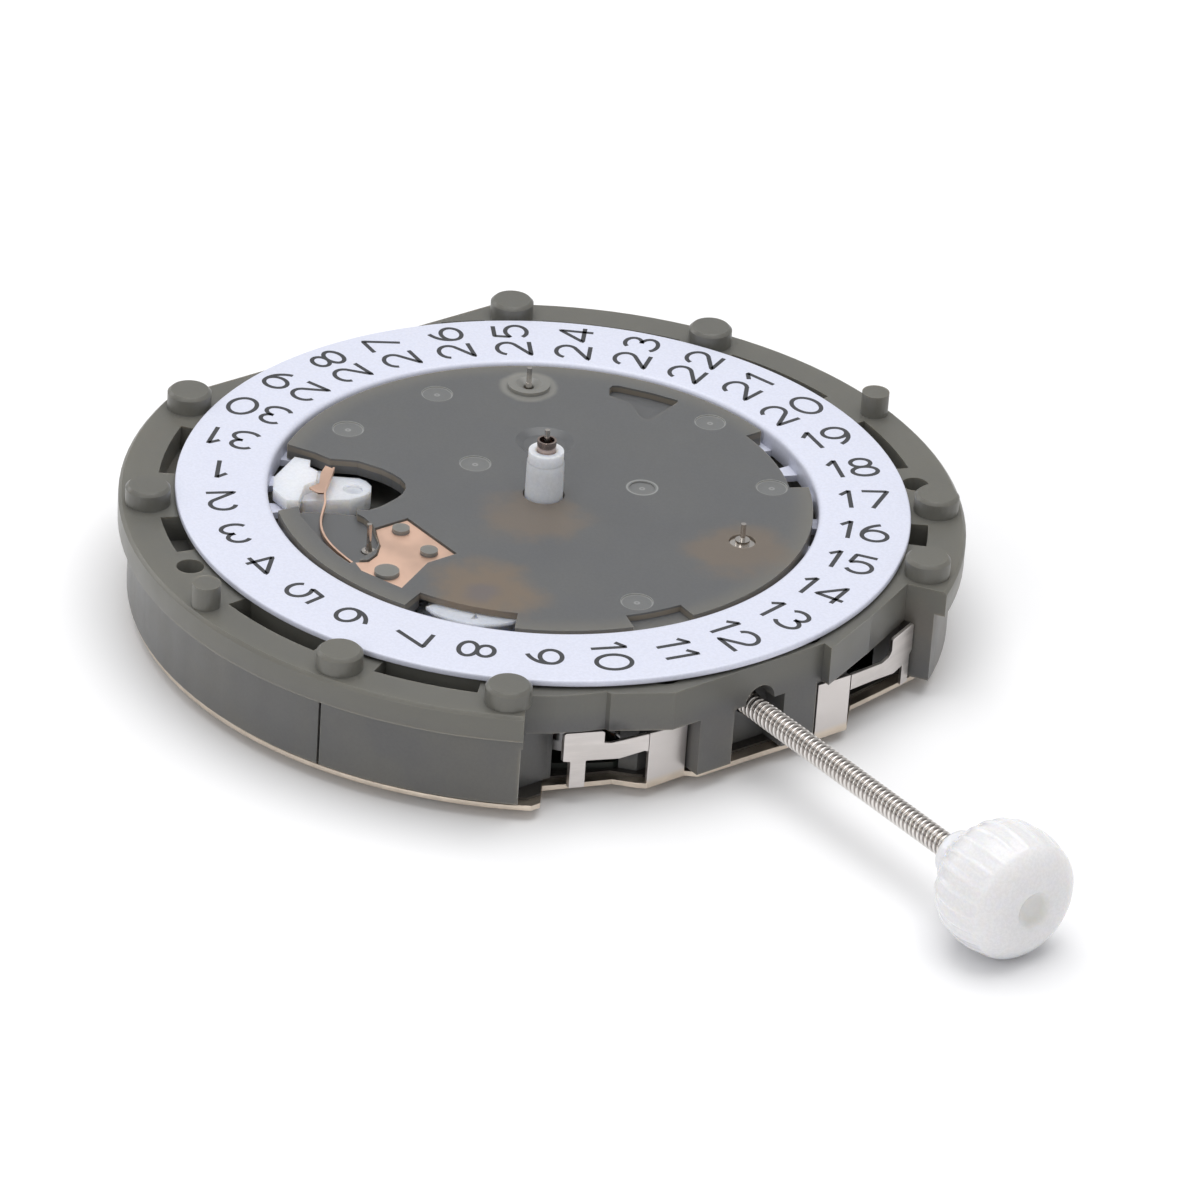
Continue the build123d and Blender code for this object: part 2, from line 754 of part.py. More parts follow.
    # Screw holes from the back, and the moulding seam in the lower wall
    with BuildSketch(Plane.XY.offset(body_foot)):
        with Locations(*[at_angle(cover_screw_circle, a) for a in cover_screw_angles]):
            Circle(cover_screw_radius)
    extrude(amount=cover_screw_length, mode=Mode.SUBTRACT)
    with BuildSketch(Plane.XY.offset(bridge_top)):
        with Locations(*bridge_standoffs):
            Circle(bridge_screw_radius)
    extrude(amount=bridge_screw_length, mode=Mode.SUBTRACT)
    with BuildSketch(Plane.XY.offset(body_foot - overrun)):
        with Locations(Location(at_angle(wall_radius, seam_angle), seam_angle)):
            Rectangle(2 * seam_depth, seam_width)
    extrude(amount=flange_bottom - body_foot + overrun, mode=Mode.SUBTRACT)
main_plate.part.label = "main_plate"
export_step(main_plate.part, "parts/main_plate.step")

# Outlines of the calendar plate's features, in shares of its radius
jumper_window_shares = ((-0.900, -0.680), (-0.813, -0.617), (-0.710, -0.565), (-0.637, -0.543),
                        (-0.610, -0.508), (-0.570, -0.461), (-0.522, -0.438), (-0.472, -0.415),
                        (-0.422, -0.403), (-0.372, -0.399), (-0.332, -0.407), (-0.297, -0.429),
                        (-0.272, -0.462), (-0.255, -0.502), (-0.242, -0.550), (-0.233, -0.600),
                        (-0.234, -0.640), (-0.248, -0.666), (-0.272, -0.683), (-0.334, -0.750),
                        (-0.387, -0.828), (-0.396, -0.871), (-0.408, -0.980), (-0.662, -0.980))
arm_pocket_shares = ((-0.285, -0.668), (-0.233, -0.697), (-0.199, -0.690), (-0.135, -0.694),
                     (-0.027, -0.742), (0.018, -0.782), (0.036, -0.830), (0.058, -0.892),
                     (0.058, -0.935), (-0.022, -0.938), (-0.122, -0.930), (-0.224, -0.912),
                     (-0.320, -0.893), (-0.412, -0.846), (-0.365, -0.735))
spring_plate_shares = ((-0.106, -0.557), (0.198, -0.553), (0.198, -0.683), (0.300, -0.870),
                       (0.126, -0.923), (0.056, -0.906), (0.078, -0.861), (0.056, -0.807),
                       (0.002, -0.754), (-0.106, -0.700))
stake_shares = ((-0.051, -0.625), (0.138, -0.630), (0.184, -0.854))
stake_radii = (0.32, 0.32, 0.45)
pocket_shares = ((-0.502, 0.684), (-0.549, 0.719), (-0.562, 0.742), (-0.550, 0.763),
                 (-0.440, 0.838), (-0.335, 0.893), (-0.323, 0.882), (-0.264, 0.705),
                 (-0.272, 0.690), (-0.300, 0.684), (-0.325, 0.690), (-0.384, 0.711),
                 (-0.420, 0.714))
mark_shares = ((-0.796, -0.349), (-0.853, 0.111), (-0.325, -0.086), (-0.129, 0.893),
               (0.404, 0.782), (0.835, -0.183))
small_mark_share = (0.152, 0.353)
small_mark_radius = 0.47
dimple_share = (-0.330, 0.248)

# Upright strip of the copper spring, out along the jumper, and the pad at its foot there
spring_strip_shares = ((0.126, -0.910), (0.048, -0.914), (-0.034, -0.912), (-0.128, -0.900),
                       (-0.221, -0.867), (-0.314, -0.802), (-0.385, -0.738), (-0.445, -0.698),
                       (-0.520, -0.625), (-0.586, -0.560))
spring_pad_shares = ((-0.627, -0.570), (-0.586, -0.560), (-0.454, -0.690), (-0.468, -0.713),
                     (-0.518, -0.720), (-0.526, -0.668), (-0.589, -0.618))
spring_bottom = calendar_top - recess_depth

with BuildPart() as calendar_plate:
    with BuildSketch(Plane.XY.offset(calendar_bottom)):
        Circle(calendar_edge_radius)
        add(ring_sector(edge_step_radius, calendar_edge_radius + overrun, *edge_step_angles),
            mode=Mode.SUBTRACT)
        add(ring_sector(window_cut_radius, calendar_edge_radius + overrun, *window_cut_angles),
            mode=Mode.SUBTRACT)
        with BuildLine():
            Polyline(*scaled(jumper_window_shares, calendar_radius), close=True)
        make_face(mode=Mode.SUBTRACT)
        with Locations(centre):
            Circle(hour_pipe_foot_radius + face_clearance, mode=Mode.SUBTRACT)
        with Locations(day_axle_place):
            Circle(day_collar_radius + running_clearance, mode=Mode.SUBTRACT)
        with Locations(seconds_axle_place):
            Circle(seconds_collar_radius + running_clearance, mode=Mode.SUBTRACT)
    extrude(amount=calendar_thickness)
    # Boss round the 10 o'clock axle
    with BuildSketch(Plane.XY.offset(calendar_bottom)):
        with Locations(counter_axle_place):
            Circle(boss_radius)
    extrude(amount=calendar_thickness + boss_height)
    with BuildSketch(Plane.XY.offset(calendar_bottom - overrun)):
        with Locations(counter_axle_place):
            Circle(boss_bore_radius)
    extrude(amount=calendar_thickness + boss_height + 2 * overrun, mode=Mode.SUBTRACT)
    with Locations((*counter_axle_place, calendar_top)):
        Cone(boss_bore_radius, boss_hollow_radius, boss_height,
             align=(Align.CENTER, Align.CENTER, Align.MIN), mode=Mode.SUBTRACT)
    # Seat of the copper spring, the three-cornered pocket and the ejector marks
    with BuildSketch(Plane.XY.offset(calendar_top - recess_depth)):
        with BuildLine():
            Polyline(*scaled(spring_plate_shares, calendar_radius), close=True)
        make_face()
        offset(amount=face_clearance, kind=Kind.INTERSECTION)
    extrude(amount=recess_depth + overrun, mode=Mode.SUBTRACT)
    # Sunken pocket that the spring's strip bends in, the deep pocket and the step in the rim
    with BuildSketch(Plane.XY.offset(calendar_bottom + pocket_floor)):
        with BuildLine():
            Polyline(*scaled(arm_pocket_shares, calendar_radius), close=True)
        make_face()
    extrude(amount=calendar_thickness, mode=Mode.SUBTRACT)
    with BuildSketch(Plane.XY.offset(calendar_bottom + deep_recess_floor)):
        with BuildLine():
            Polyline(*scaled(pocket_shares, calendar_radius), close=True)
        make_face()
        add(ring_sector(front_step_radius, calendar_edge_radius + overrun, *front_step_angles))
    extrude(amount=calendar_thickness, mode=Mode.SUBTRACT)
    # Room in the underside for the date driver's flange
    with BuildSketch(Plane.XY.offset(calendar_bottom)):
        with Locations(date_driver_place):
            Circle(driver_flange_radius + running_clearance)
    extrude(amount=driver_recess_depth, mode=Mode.SUBTRACT)
    with BuildSketch(Plane.XY.offset(calendar_top - mark_depth)):
        with Locations(*scaled(mark_shares, calendar_radius)):
            Circle(mark_radius)
        with Locations(*scaled((small_mark_share,), calendar_radius)):
            Circle(small_mark_radius)
    extrude(amount=mark_depth + overrun, mode=Mode.SUBTRACT)
    with Locations((dimple_share[0] * calendar_radius, dimple_share[1] * calendar_radius,
                    calendar_top)):
        Cone(dimple_floor_radius, dimple_radius, dimple_depth,
             align=(Align.CENTER, Align.CENTER, Align.MAX), mode=Mode.SUBTRACT)
    # Stakes that rivet the copper spring down
    for place, radius in zip(scaled(stake_shares, calendar_radius), stake_radii):
        with BuildSketch(Plane.XY.offset(calendar_bottom)):
            with Locations(place):
                Circle(radius)
        extrude(amount=calendar_thickness - recess_depth + spring_plate_thickness
                + stake_height)
calendar_plate.part.label = "calendar_plate"
export_step(calendar_plate.part, "parts/calendar_plate.step")

with BuildPart() as jumper_spring:
    with BuildSketch(Plane.XY.offset(spring_bottom)):
        with BuildLine():
            Polyline(*scaled(spring_plate_shares, calendar_radius), close=True)
        make_face()
        for place, radius in zip(scaled(stake_shares, calendar_radius), stake_radii):
            with Locations(place):
                Circle(radius, mode=Mode.SUBTRACT)
    extrude(amount=spring_plate_thickness)
    with BuildSketch(Plane.XY.offset(spring_strip_bottom)):
        with BuildLine():
            strip = Spline(*scaled(spring_strip_shares, calendar_radius))
        trace(strip, spring_strip_thickness)
    extrude(amount=spring_strip_top - spring_strip_bottom)
    with BuildSketch(Plane.XY.offset(spring_strip_bottom)):
        with BuildLine():
            Polyline(*scaled(spring_pad_shares, calendar_radius), close=True)
        make_face()
    extrude(amount=spring_strip_thickness)
jumper_spring.part.label = "jumper_spring"
export_step(jumper_spring.part, "parts/jumper_spring.step")

# Outlines of the white date jumper's body and of its raised head, in shares of the calendar
# radius
jumper_shares = ((-0.596, -0.554), (-0.534, -0.477), (-0.503, -0.466), (-0.460, -0.471),
                 (-0.430, -0.494), (-0.414, -0.535), (-0.416, -0.600), (-0.497, -0.762),
                 (-0.539, -0.772), (-0.642, -0.684), (-0.699, -0.617), (-0.674, -0.596))
head_shares = ((-0.734, -0.639), (-0.682, -0.602), (-0.640, -0.634), (-0.597, -0.626),
               (-0.541, -0.672), (-0.532, -0.732), (-0.447, -0.817), (-0.470, -0.855),
               (-0.570, -0.850), (-0.641, -0.798))
nose_half_width = 0.30
nose_length = 0.90
nose_gap = 0.05
nose_angle = 221.5

with BuildPart() as date_jumper:
    with BuildSketch(Plane.XY.offset(jumper_bottom)):
        with BuildLine():
            Polyline(*scaled(jumper_shares, calendar_radius), close=True)
        make_face()
    extrude(amount=jumper_body_top - jumper_bottom)
    with BuildSketch(Plane.XY.offset(jumper_head_bottom)):
        with BuildLine():
            Polyline(*scaled(head_shares, calendar_radius), close=True)
        make_face()
    extrude(amount=jumper_head_top - jumper_head_bottom)
    with BuildSketch(Plane.XY.offset(jumper_nose_bottom)):
        nose_tip = at_angle(ring_tip_radius - nose_gap, nose_angle)
        nose_root = at_angle(ring_tip_radius - nose_length, nose_angle)
        with BuildLine():
            Polyline(nose_tip, step_from(nose_root, nose_half_width, nose_angle + 90),
                     step_from(nose_root, nose_half_width, nose_angle - 90), close=True)
        make_face()
    extrude(amount=jumper_nose_thickness)
    # Blind bearing from below, and the shallow hollow over it
    with BuildSketch(Plane.XY.offset(jumper_bottom - overrun)):
        with Locations(jumper_pivot):
            Circle(jumper_pivot_radius)
    extrude(amount=jumper_body_top - jumper_pivot_cap - jumper_bottom + overrun,
            mode=Mode.SUBTRACT)
    with BuildSketch(Plane.XY.offset(jumper_body_top - jumper_hollow_depth)):
        with Locations(jumper_pivot):
            Circle(jumper_hollow_radius)
    extrude(amount=jumper_hollow_depth + overrun, mode=Mode.SUBTRACT)
date_jumper.part.label = "date_jumper"
export_step(date_jumper.part, "parts/date_jumper.step")

with BuildPart() as date_ring:
    with BuildSketch(Plane.XY.offset(ring_top - ring_disc_thickness)):
        Circle(ring_outer_radius)
        Circle(ring_inner_radius, mode=Mode.SUBTRACT)
    extrude(amount=ring_disc_thickness)
    with BuildSketch(Plane.XY.offset(ring_bottom)):
        Circle(ring_collar_radius)
        Circle(ring_inner_radius, mode=Mode.SUBTRACT)
    extrude(amount=ring_depth)
    with BuildSketch(Plane.XY.offset(ring_bottom)):
        with PolarLocations(0, ring_teeth, start_angle=nose_angle + 180 / ring_teeth):
            Polygon((ring_inner_radius + face_clearance, -ring_tooth_width / 2),
                    (ring_tip_radius, -ring_tooth_tip_width / 2),
                    (ring_tip_radius, ring_tooth_tip_width / 2),
                    (ring_inner_radius + face_clearance, ring_tooth_width / 2), align=None)
    extrude(amount=ring_tooth_thickness)
date_ring.part.label = "date_ring"
export_step(date_ring.part, "parts/date_ring.step")

# Going train

with BuildPart() as small_seconds_arbor:
    with BuildSketch(Plane.XY.offset(bridge_bottom)):
        with Locations(seconds_axle_place):
            Circle(pivot_radius)
    extrude(amount=bridge_thickness)
    with BuildSketch(Plane.XY.offset(bridge_top)):
        with Locations(seconds_axle_place):
            Circle(arbor_radius)
    extrude(amount=seconds_collar_top - seconds_collar_height - bridge_top)
    with BuildSketch(Plane.XY.offset(seconds_collar_top - seconds_collar_height)):
        with Locations(seconds_axle_place):
            Circle(seconds_collar_radius)
    extrude(amount=seconds_collar_height)
    with Locations((*seconds_axle_place, seconds_collar_top)):
        Cone(seconds_root_radius, seconds_axle_radius, seconds_seat_start - seconds_collar_top,
             align=(Align.CENTER, Align.CENTER, Align.MIN))
    with BuildSketch(Plane.XY.offset(seconds_seat_start)):
        with Locations(seconds_axle_place):
            Circle(seconds_axle_radius)
    extrude(amount=seconds_axle_top - seconds_seat_start)
small_seconds_arbor.part.label = "small_seconds_arbor"
export_step(small_seconds_arbor.part, "parts/small_seconds_arbor.step")

with BuildPart() as small_seconds_wheel:
    with BuildSketch(Plane(origin=(*seconds_axle_place, seconds_layer))):
        add(gear_face(seconds_teeth, intermediate_module, seconds_phase))
        Circle(arbor_radius, mode=Mode.SUBTRACT)
    extrude(amount=gear_thickness)
    with BuildSketch(Plane(origin=(*seconds_axle_place, seconds_layer))):
        Circle(seconds_collar_radius)
        Circle(arbor_radius, mode=Mode.SUBTRACT)
    extrude(amount=third_layer - seconds_layer)
    with BuildSketch(Plane(origin=(*seconds_axle_place, third_layer - pinion_overlap))):
        add(gear_face(seconds_pinion_teeth, third_module, seconds_phase))
        Circle(arbor_radius, mode=Mode.SUBTRACT)
    extrude(amount=gear_thickness + 2 * pinion_overlap)
small_seconds_wheel.part.label = "small_seconds_wheel"
export_step(small_seconds_wheel.part, "parts/small_seconds_wheel.step")

with BuildPart() as intermediate_wheel:
    with BuildSketch(Plane(origin=(*intermediate_place, bridge_bottom))):
        Circle(pivot_radius)
    extrude(amount=floor_top - bridge_bottom)
    with BuildSketch(Plane(origin=(*intermediate_place, seconds_layer - pinion_overlap))):
        add(gear_face(intermediate_pinion_teeth, intermediate_module, intermediate_phase))
    extrude(amount=intermediate_layer - seconds_layer + pinion_overlap)
    with BuildSketch(Plane(origin=(*intermediate_place, intermediate_layer))):
        add(gear_face(intermediate_teeth, rotor_module, intermediate_phase))
    extrude(amount=gear_thickness)
intermediate_wheel.part.label = "intermediate_wheel"
export_step(intermediate_wheel.part, "parts/intermediate_wheel.step")

with BuildPart() as rotor_pinion:
    with BuildSketch(Plane(origin=(*rotor_place, bridge_bottom))):
        Circle(pivot_radius)
    extrude(amount=floor_top - bridge_bottom)
    with BuildSketch(Plane(origin=(*rotor_place, intermediate_layer - pinion_overlap))):
        add(gear_face(rotor_teeth, rotor_module, rotor_phase))
    extrude(amount=gear_thickness + 2 * pinion_overlap)
rotor_pinion.part.label = "rotor_pinion"
export_step(rotor_pinion.part, "parts/rotor_pinion.step")

with BuildPart() as rotor_magnet:
    with BuildSketch(Plane(origin=(*rotor_place, rotor_magnet_bottom))):
        Circle(rotor_magnet_radius)
        Circle(pivot_radius, mode=Mode.SUBTRACT)
    extrude(amount=rotor_magnet_height)
rotor_magnet.part.label = "rotor_magnet"
export_step(rotor_magnet.part, "parts/rotor_magnet.step")

with BuildPart() as third_wheel:
    with BuildSketch(Plane(origin=(*third_place, bridge_bottom))):
        Circle(pivot_radius)
    extrude(amount=floor_top - bridge_bottom)
    with BuildSketch(Plane(origin=(*third_place, third_layer))):
        add(gear_face(third_teeth, third_module, third_phase))
    extrude(amount=gear_thickness)
    with BuildSketch(Plane(origin=(*third_place, third_layer))):
        Circle(seconds_collar_radius)
    extrude(amount=minute_layer - third_layer)
    with BuildSketch(Plane(origin=(*third_place, minute_layer - pinion_overlap))):
        add(gear_face(third_pinion_teeth, minute_module, third_phase))
    extrude(amount=gear_thickness + 2 * pinion_overlap)
third_wheel.part.label = "third_wheel"
export_step(third_wheel.part, "parts/third_wheel.step")

with BuildPart() as minute_pipe:
    with BuildSketch(Plane.XY.offset(minute_layer)):
        Circle(centre_journal_radius)
    extrude(amount=motion_layer - minute_layer)
    with BuildSketch(Plane.XY.offset(motion_layer)):
        add(gear_face(cannon_teeth, cannon_module, minute_phase))
    extrude(amount=gear_thickness)
    with Locations((*centre, motion_layer + gear_thickness)):
        Cone(minute_pipe_foot_radius, minute_pipe_radius,
             hour_pipe_top - motion_layer - gear_thickness,
             align=(Align.CENTER, Align.CENTER, Align.MIN))
    with BuildSketch(Plane.XY.offset(hour_pipe_top)):
        Circle(minute_pipe_radius)
    extrude(amount=minute_pipe_top - hour_pipe_top)
    with BuildSketch(Plane.XY.offset(minute_layer - overrun)):
        Circle(minute_pipe_bore_radius)
    extrude(amount=minute_pipe_top - minute_layer + 2 * overrun, mode=Mode.SUBTRACT)
    with BuildSketch(Plane.XY.offset(minute_pipe_top - minute_pipe_mouth_depth)):
        Circle(minute_pipe_mouth_radius)
    extrude(amount=minute_pipe_mouth_depth + overrun, mode=Mode.SUBTRACT)
minute_pipe.part.label = "minute_pipe"
export_step(minute_pipe.part, "parts/minute_pipe.step")

with BuildPart() as minute_gear:
    with BuildSketch(Plane.XY.offset(minute_layer)):
        add(gear_face(minute_teeth, minute_module, minute_phase))
        Circle(centre_journal_radius, mode=Mode.SUBTRACT)
    extrude(amount=gear_thickness)
minute_gear.part.label = "minute_gear"
export_step(minute_gear.part, "parts/minute_gear.step")

# Motion work

with BuildPart() as motion_wheel:
    with BuildSketch(Plane(origin=(*motion_place, motion_layer))):
        add(gear_face(motion_wheel_teeth, cannon_module, motion_phase))
    extrude(amount=gear_thickness)
    with BuildSketch(Plane(origin=(*motion_place, motion_layer + gear_thickness))):
        add(gear_face(motion_pinion_teeth, hour_module, motion_phase))
    extrude(amount=hour_layer - motion_layer)
    with BuildSketch(Plane(origin=(*motion_place, motion_layer - overrun))):
        Circle(wheel_post_radius / 2 + bearing_play)
    extrude(amount=hour_layer - motion_layer + gear_thickness + 2 * overrun,
            mode=Mode.SUBTRACT)
motion_wheel.part.label = "motion_wheel"
export_step(motion_wheel.part, "parts/motion_wheel.step")

with BuildPart() as hour_wheel:
    with BuildSketch(Plane.XY.offset(hour_layer)):
        add(gear_face(hour_teeth, hour_module, hour_phase))
    extrude(amount=gear_thickness)
    with BuildSketch(Plane.XY.offset(hour_layer + gear_thickness)):
        add(gear_face(calendar_pinion_teeth, calendar_module, hour_phase))
    extrude(amount=calendar_layer + thick_gear - hour_layer - gear_thickness)
    with Locations((*centre, calendar_layer + thick_gear)):
        Cone(hour_pipe_foot_radius, hour_pipe_radius,
             hour_pipe_top - hour_pipe_neck_length - calendar_layer - thick_gear,
             align=(Align.CENTER, Align.CENTER, Align.MIN))
    with BuildSketch(Plane.XY.offset(hour_pipe_top - hour_pipe_neck_length)):
        Circle(hour_pipe_neck_radius)
    extrude(amount=hour_pipe_neck_length)
    with BuildSketch(Plane.XY.offset(hour_layer - overrun)):
        Circle(minute_pipe_radius + bearing_play)
    extrude(amount=hour_pipe_top - hour_layer + 2 * overrun, mode=Mode.SUBTRACT)
hour_wheel.part.label = "hour_wheel"
export_step(hour_wheel.part, "parts/hour_wheel.step")

with BuildPart() as setting_wheel:
    with BuildSketch(Plane(origin=(*setting_place, motion_layer))):
        add(gear_face(setting_teeth, cannon_module, setting_phase))
        Circle(wheel_post_radius / 2 + bearing_play, mode=Mode.SUBTRACT)
    extrude(amount=gear_thickness)
setting_wheel.part.label = "setting_wheel"
export_step(setting_wheel.part, "parts/setting_wheel.step")

# Calendar and 24-hour work

with BuildPart() as date_idler:
    with BuildSketch(Plane(origin=(*date_idler_place, calendar_layer))):
        add(gear_face(date_idler_teeth, calendar_module, date_idler_phase))
        Circle(wheel_post_radius + bearing_play, mode=Mode.SUBTRACT)
    extrude(amount=thick_gear)
date_idler.part.label = "date_idler"
export_step(date_idler.part, "parts/date_idler.step")

with BuildPart() as date_driver:
    with BuildSketch(Plane(origin=(*date_driver_place, calendar_layer))):
        add(gear_face(date_driver_teeth, calendar_module, date_driver_phase))
    extrude(amount=thick_gear)
    # Plate with the finger, turned away from the ring's teeth at rest
    finger_angle = bearing(date_driver_place, centre)
    finger_reach = ring_tip_radius - nose_gap - hypot(*date_driver_place)
    with BuildSketch(Plane(origin=(*date_driver_place, calendar_layer + thick_gear))):
        Circle(driver_plate_radius)
        with Locations(Location((0, 0), finger_angle)):
            with Locations((finger_reach / 2, 0)):
                Rectangle(finger_reach, finger_width)
    extrude(amount=finger_thickness)
    # Flange that shows in the calendar plate's cut, with its setting mark
    driver_plate_top = calendar_layer + thick_gear + finger_thickness
    with BuildSketch(Plane(origin=(*date_driver_place, driver_plate_top))):
        Circle(driver_plate_radius)
        add(ring_sector(2 * wheel_post_radius, driver_plate_radius + overrun,
                        *driver_flange_gap), mode=Mode.SUBTRACT)
    driver_flange_bottom = calendar_top - driver_flange_drop
    extrude(amount=driver_flange_bottom - driver_plate_top)
    with BuildSketch(Plane(origin=(*date_driver_place, driver_flange_bottom))):
        Circle(driver_flange_radius)
        add(ring_sector(2 * wheel_post_radius, driver_flange_radius + overrun,
                        *driver_flange_gap), mode=Mode.SUBTRACT)
        with BuildLine():
            Polyline(*scaled(driver_mark_shares, driver_flange_radius), close=True)
        make_face(mode=Mode.SUBTRACT)
    extrude(amount=driver_flange_thickness)
    with BuildSketch(Plane(origin=(*date_driver_place, calendar_layer - overrun))):
        Circle(wheel_post_radius + bearing_play)
    extrude(amount=overrun + thick_gear + face_clearance, mode=Mode.SUBTRACT)
date_driver.part.label = "date_driver"
export_step(date_driver.part, "parts/date_driver.step")

with BuildPart() as day_idler:
    with BuildSketch(Plane(origin=(*day_idler_place, calendar_layer))):
        add(gear_face(day_idler_teeth, calendar_module, day_idler_phase))
        Circle(wheel_post_radius + bearing_play, mode=Mode.SUBTRACT)
    extrude(amount=thick_gear)
day_idler.part.label = "day_idler"
export_step(day_idler.part, "parts/day_idler.step")

with BuildPart() as day_wheel:
    with BuildSketch(Plane(origin=(*day_axle_place, calendar_layer))):
        add(gear_face(day_teeth, calendar_module, day_phase))
        Circle(arbor_radius, mode=Mode.SUBTRACT)
    extrude(amount=thick_gear)
day_wheel.part.label = "day_wheel"
export_step(day_wheel.part, "parts/day_wheel.step")

with BuildPart() as day_arbor:
    with BuildSketch(Plane(origin=(*day_axle_place, floor_bottom))):
        Circle(pivot_radius)
    extrude(amount=floor_thickness)
    with BuildSketch(Plane(origin=(*day_axle_place, floor_top))):
        Circle(arbor_radius)
    extrude(amount=calendar_bottom - floor_top)
    with BuildSketch(Plane(origin=(*day_axle_place, calendar_bottom))):
        Circle(day_collar_radius)
    extrude(amount=calendar_thickness - day_collar_drop)
    with BuildSketch(Plane(origin=(*day_axle_place, calendar_top - day_collar_drop))):
        Circle(day_shoulder_radius)
    extrude(amount=day_collar_drop + day_shoulder_height)
    with BuildSketch(Plane(origin=(*day_axle_place, calendar_top + day_shoulder_height))):
        Circle(day_axle_radius)
    extrude(amount=day_axle_top - calendar_top - day_shoulder_height)
day_arbor.part.label = "day_arbor"
export_step(day_arbor.part, "parts/day_arbor.step")

# Chronograph train

with BuildPart() as chrono_rotor_pinion:
    with BuildSketch(Plane(origin=(*chrono_rotor_place, bridge_bottom))):
        Circle(pivot_radius)
    extrude(amount=floor_top - bridge_bottom)
    with BuildSketch(Plane(origin=(*chrono_rotor_place,
                                   chrono_intermediate_layer - pinion_overlap))):
        add(gear_face(chrono_rotor_teeth, chrono_rotor_module, chrono_rotor_phase))
    extrude(amount=gear_thickness + 2 * pinion_overlap)
chrono_rotor_pinion.part.label = "chrono_rotor_pinion"
export_step(chrono_rotor_pinion.part, "parts/chrono_rotor_pinion.step")

with BuildPart() as chrono_rotor_magnet:
    with BuildSketch(Plane(origin=(*chrono_rotor_place, chrono_magnet_bottom))):
        Circle(chrono_magnet_radius)
        Circle(pivot_radius, mode=Mode.SUBTRACT)
    extrude(amount=chrono_magnet_height)
chrono_rotor_magnet.part.label = "chrono_rotor_magnet"
export_step(chrono_rotor_magnet.part, "parts/chrono_rotor_magnet.step")

with BuildPart() as chrono_intermediate_wheel:
    with BuildSketch(Plane(origin=(*chrono_intermediate_place, bridge_bottom))):
        Circle(pivot_radius)
    extrude(amount=floor_top - bridge_bottom)
    with BuildSketch(Plane(origin=(*chrono_intermediate_place,
                                   chrono_seconds_layer - pinion_overlap))):
        add(gear_face(chrono_intermediate_pinion_teeth, chrono_module,
                      chrono_intermediate_phase))
    extrude(amount=chrono_intermediate_layer - chrono_seconds_layer + pinion_overlap)
    with BuildSketch(Plane(origin=(*chrono_intermediate_place, chrono_intermediate_layer))):
        add(gear_face(chrono_intermediate_teeth, chrono_rotor_module,
                      chrono_intermediate_phase))
    extrude(amount=gear_thickness)
chrono_intermediate_wheel.part.label = "chrono_intermediate_wheel"
export_step(chrono_intermediate_wheel.part, "parts/chrono_intermediate_wheel.step")

with BuildPart() as chrono_seconds_wheel:
    with BuildSketch(Plane.XY.offset(chrono_seconds_layer)):
        add(gear_face(chrono_seconds_teeth, chrono_module, chrono_phase))
        Circle(chrono_arbor_radius, mode=Mode.SUBTRACT)
    extrude(amount=gear_thickness)
    with BuildSketch(Plane.XY.offset(chrono_seconds_layer)):
        Circle(seconds_collar_radius)
        Circle(chrono_arbor_radius, mode=Mode.SUBTRACT)
    extrude(amount=counter_intermediate_layer - chrono_seconds_layer)
    with BuildSketch(Plane.XY.offset(counter_intermediate_layer - pinion_overlap)):
        add(gear_face(chrono_pinion_teeth, counter_module, chrono_phase))
        Circle(chrono_arbor_radius, mode=Mode.SUBTRACT)
    extrude(amount=gear_thickness + 2 * pinion_overlap)
chrono_seconds_wheel.part.label = "chrono_seconds_wheel"
export_step(chrono_seconds_wheel.part, "parts/chrono_seconds_wheel.step")

chrono_seat_top = counter_intermediate_layer + gear_thickness + pinion_overlap

with BuildPart() as chrono_seconds_arbor:
    with BuildSketch(Plane.XY.offset(bridge_bottom)):
        Circle(chrono_arbor_radius)
    extrude(amount=chrono_seat_top - bridge_bottom)
    with Locations((*centre, chrono_seat_top)):
        Cone(chrono_arbor_foot_radius, chrono_arbor_radius, minute_pipe_top - chrono_seat_top,
             align=(Align.CENTER, Align.CENTER, Align.MIN))
    with BuildSketch(Plane.XY.offset(minute_pipe_top)):
        Circle(chrono_arbor_radius)
    extrude(amount=chrono_arbor_top - minute_pipe_top)
chrono_seconds_arbor.part.label = "chrono_seconds_arbor"
export_step(chrono_seconds_arbor.part, "parts/chrono_seconds_arbor.step")

with BuildPart() as counter_intermediate_wheel:
    with BuildSketch(Plane(origin=(*counter_intermediate_place, bridge_bottom))):
        Circle(pivot_radius)
    extrude(amount=floor_top - bridge_bottom)
    with BuildSketch(Plane(origin=(*counter_intermediate_place,
                                   counter_layer - pinion_overlap))):
        add(gear_face(counter_intermediate_pinion_teeth, counter_module,
                      counter_intermediate_phase))
    extrude(amount=counter_intermediate_layer - counter_layer + pinion_overlap)
    with BuildSketch(Plane(origin=(*counter_intermediate_place, counter_intermediate_layer))):
        add(gear_face(counter_intermediate_teeth, counter_module, counter_intermediate_phase))
    extrude(amount=gear_thickness)
counter_intermediate_wheel.part.label = "counter_intermediate_wheel"
export_step(counter_intermediate_wheel.part, "parts/counter_intermediate_wheel.step")

with BuildPart() as counter_wheel:
    with BuildSketch(Plane(origin=(*counter_axle_place, counter_layer))):
        add(gear_face(counter_teeth, counter_module, counter_phase))
        Circle(arbor_radius, mode=Mode.SUBTRACT)
    extrude(amount=gear_thickness)
counter_wheel.part.label = "counter_wheel"
export_step(counter_wheel.part, "parts/counter_wheel.step")

boss_top = calendar_top + boss_height

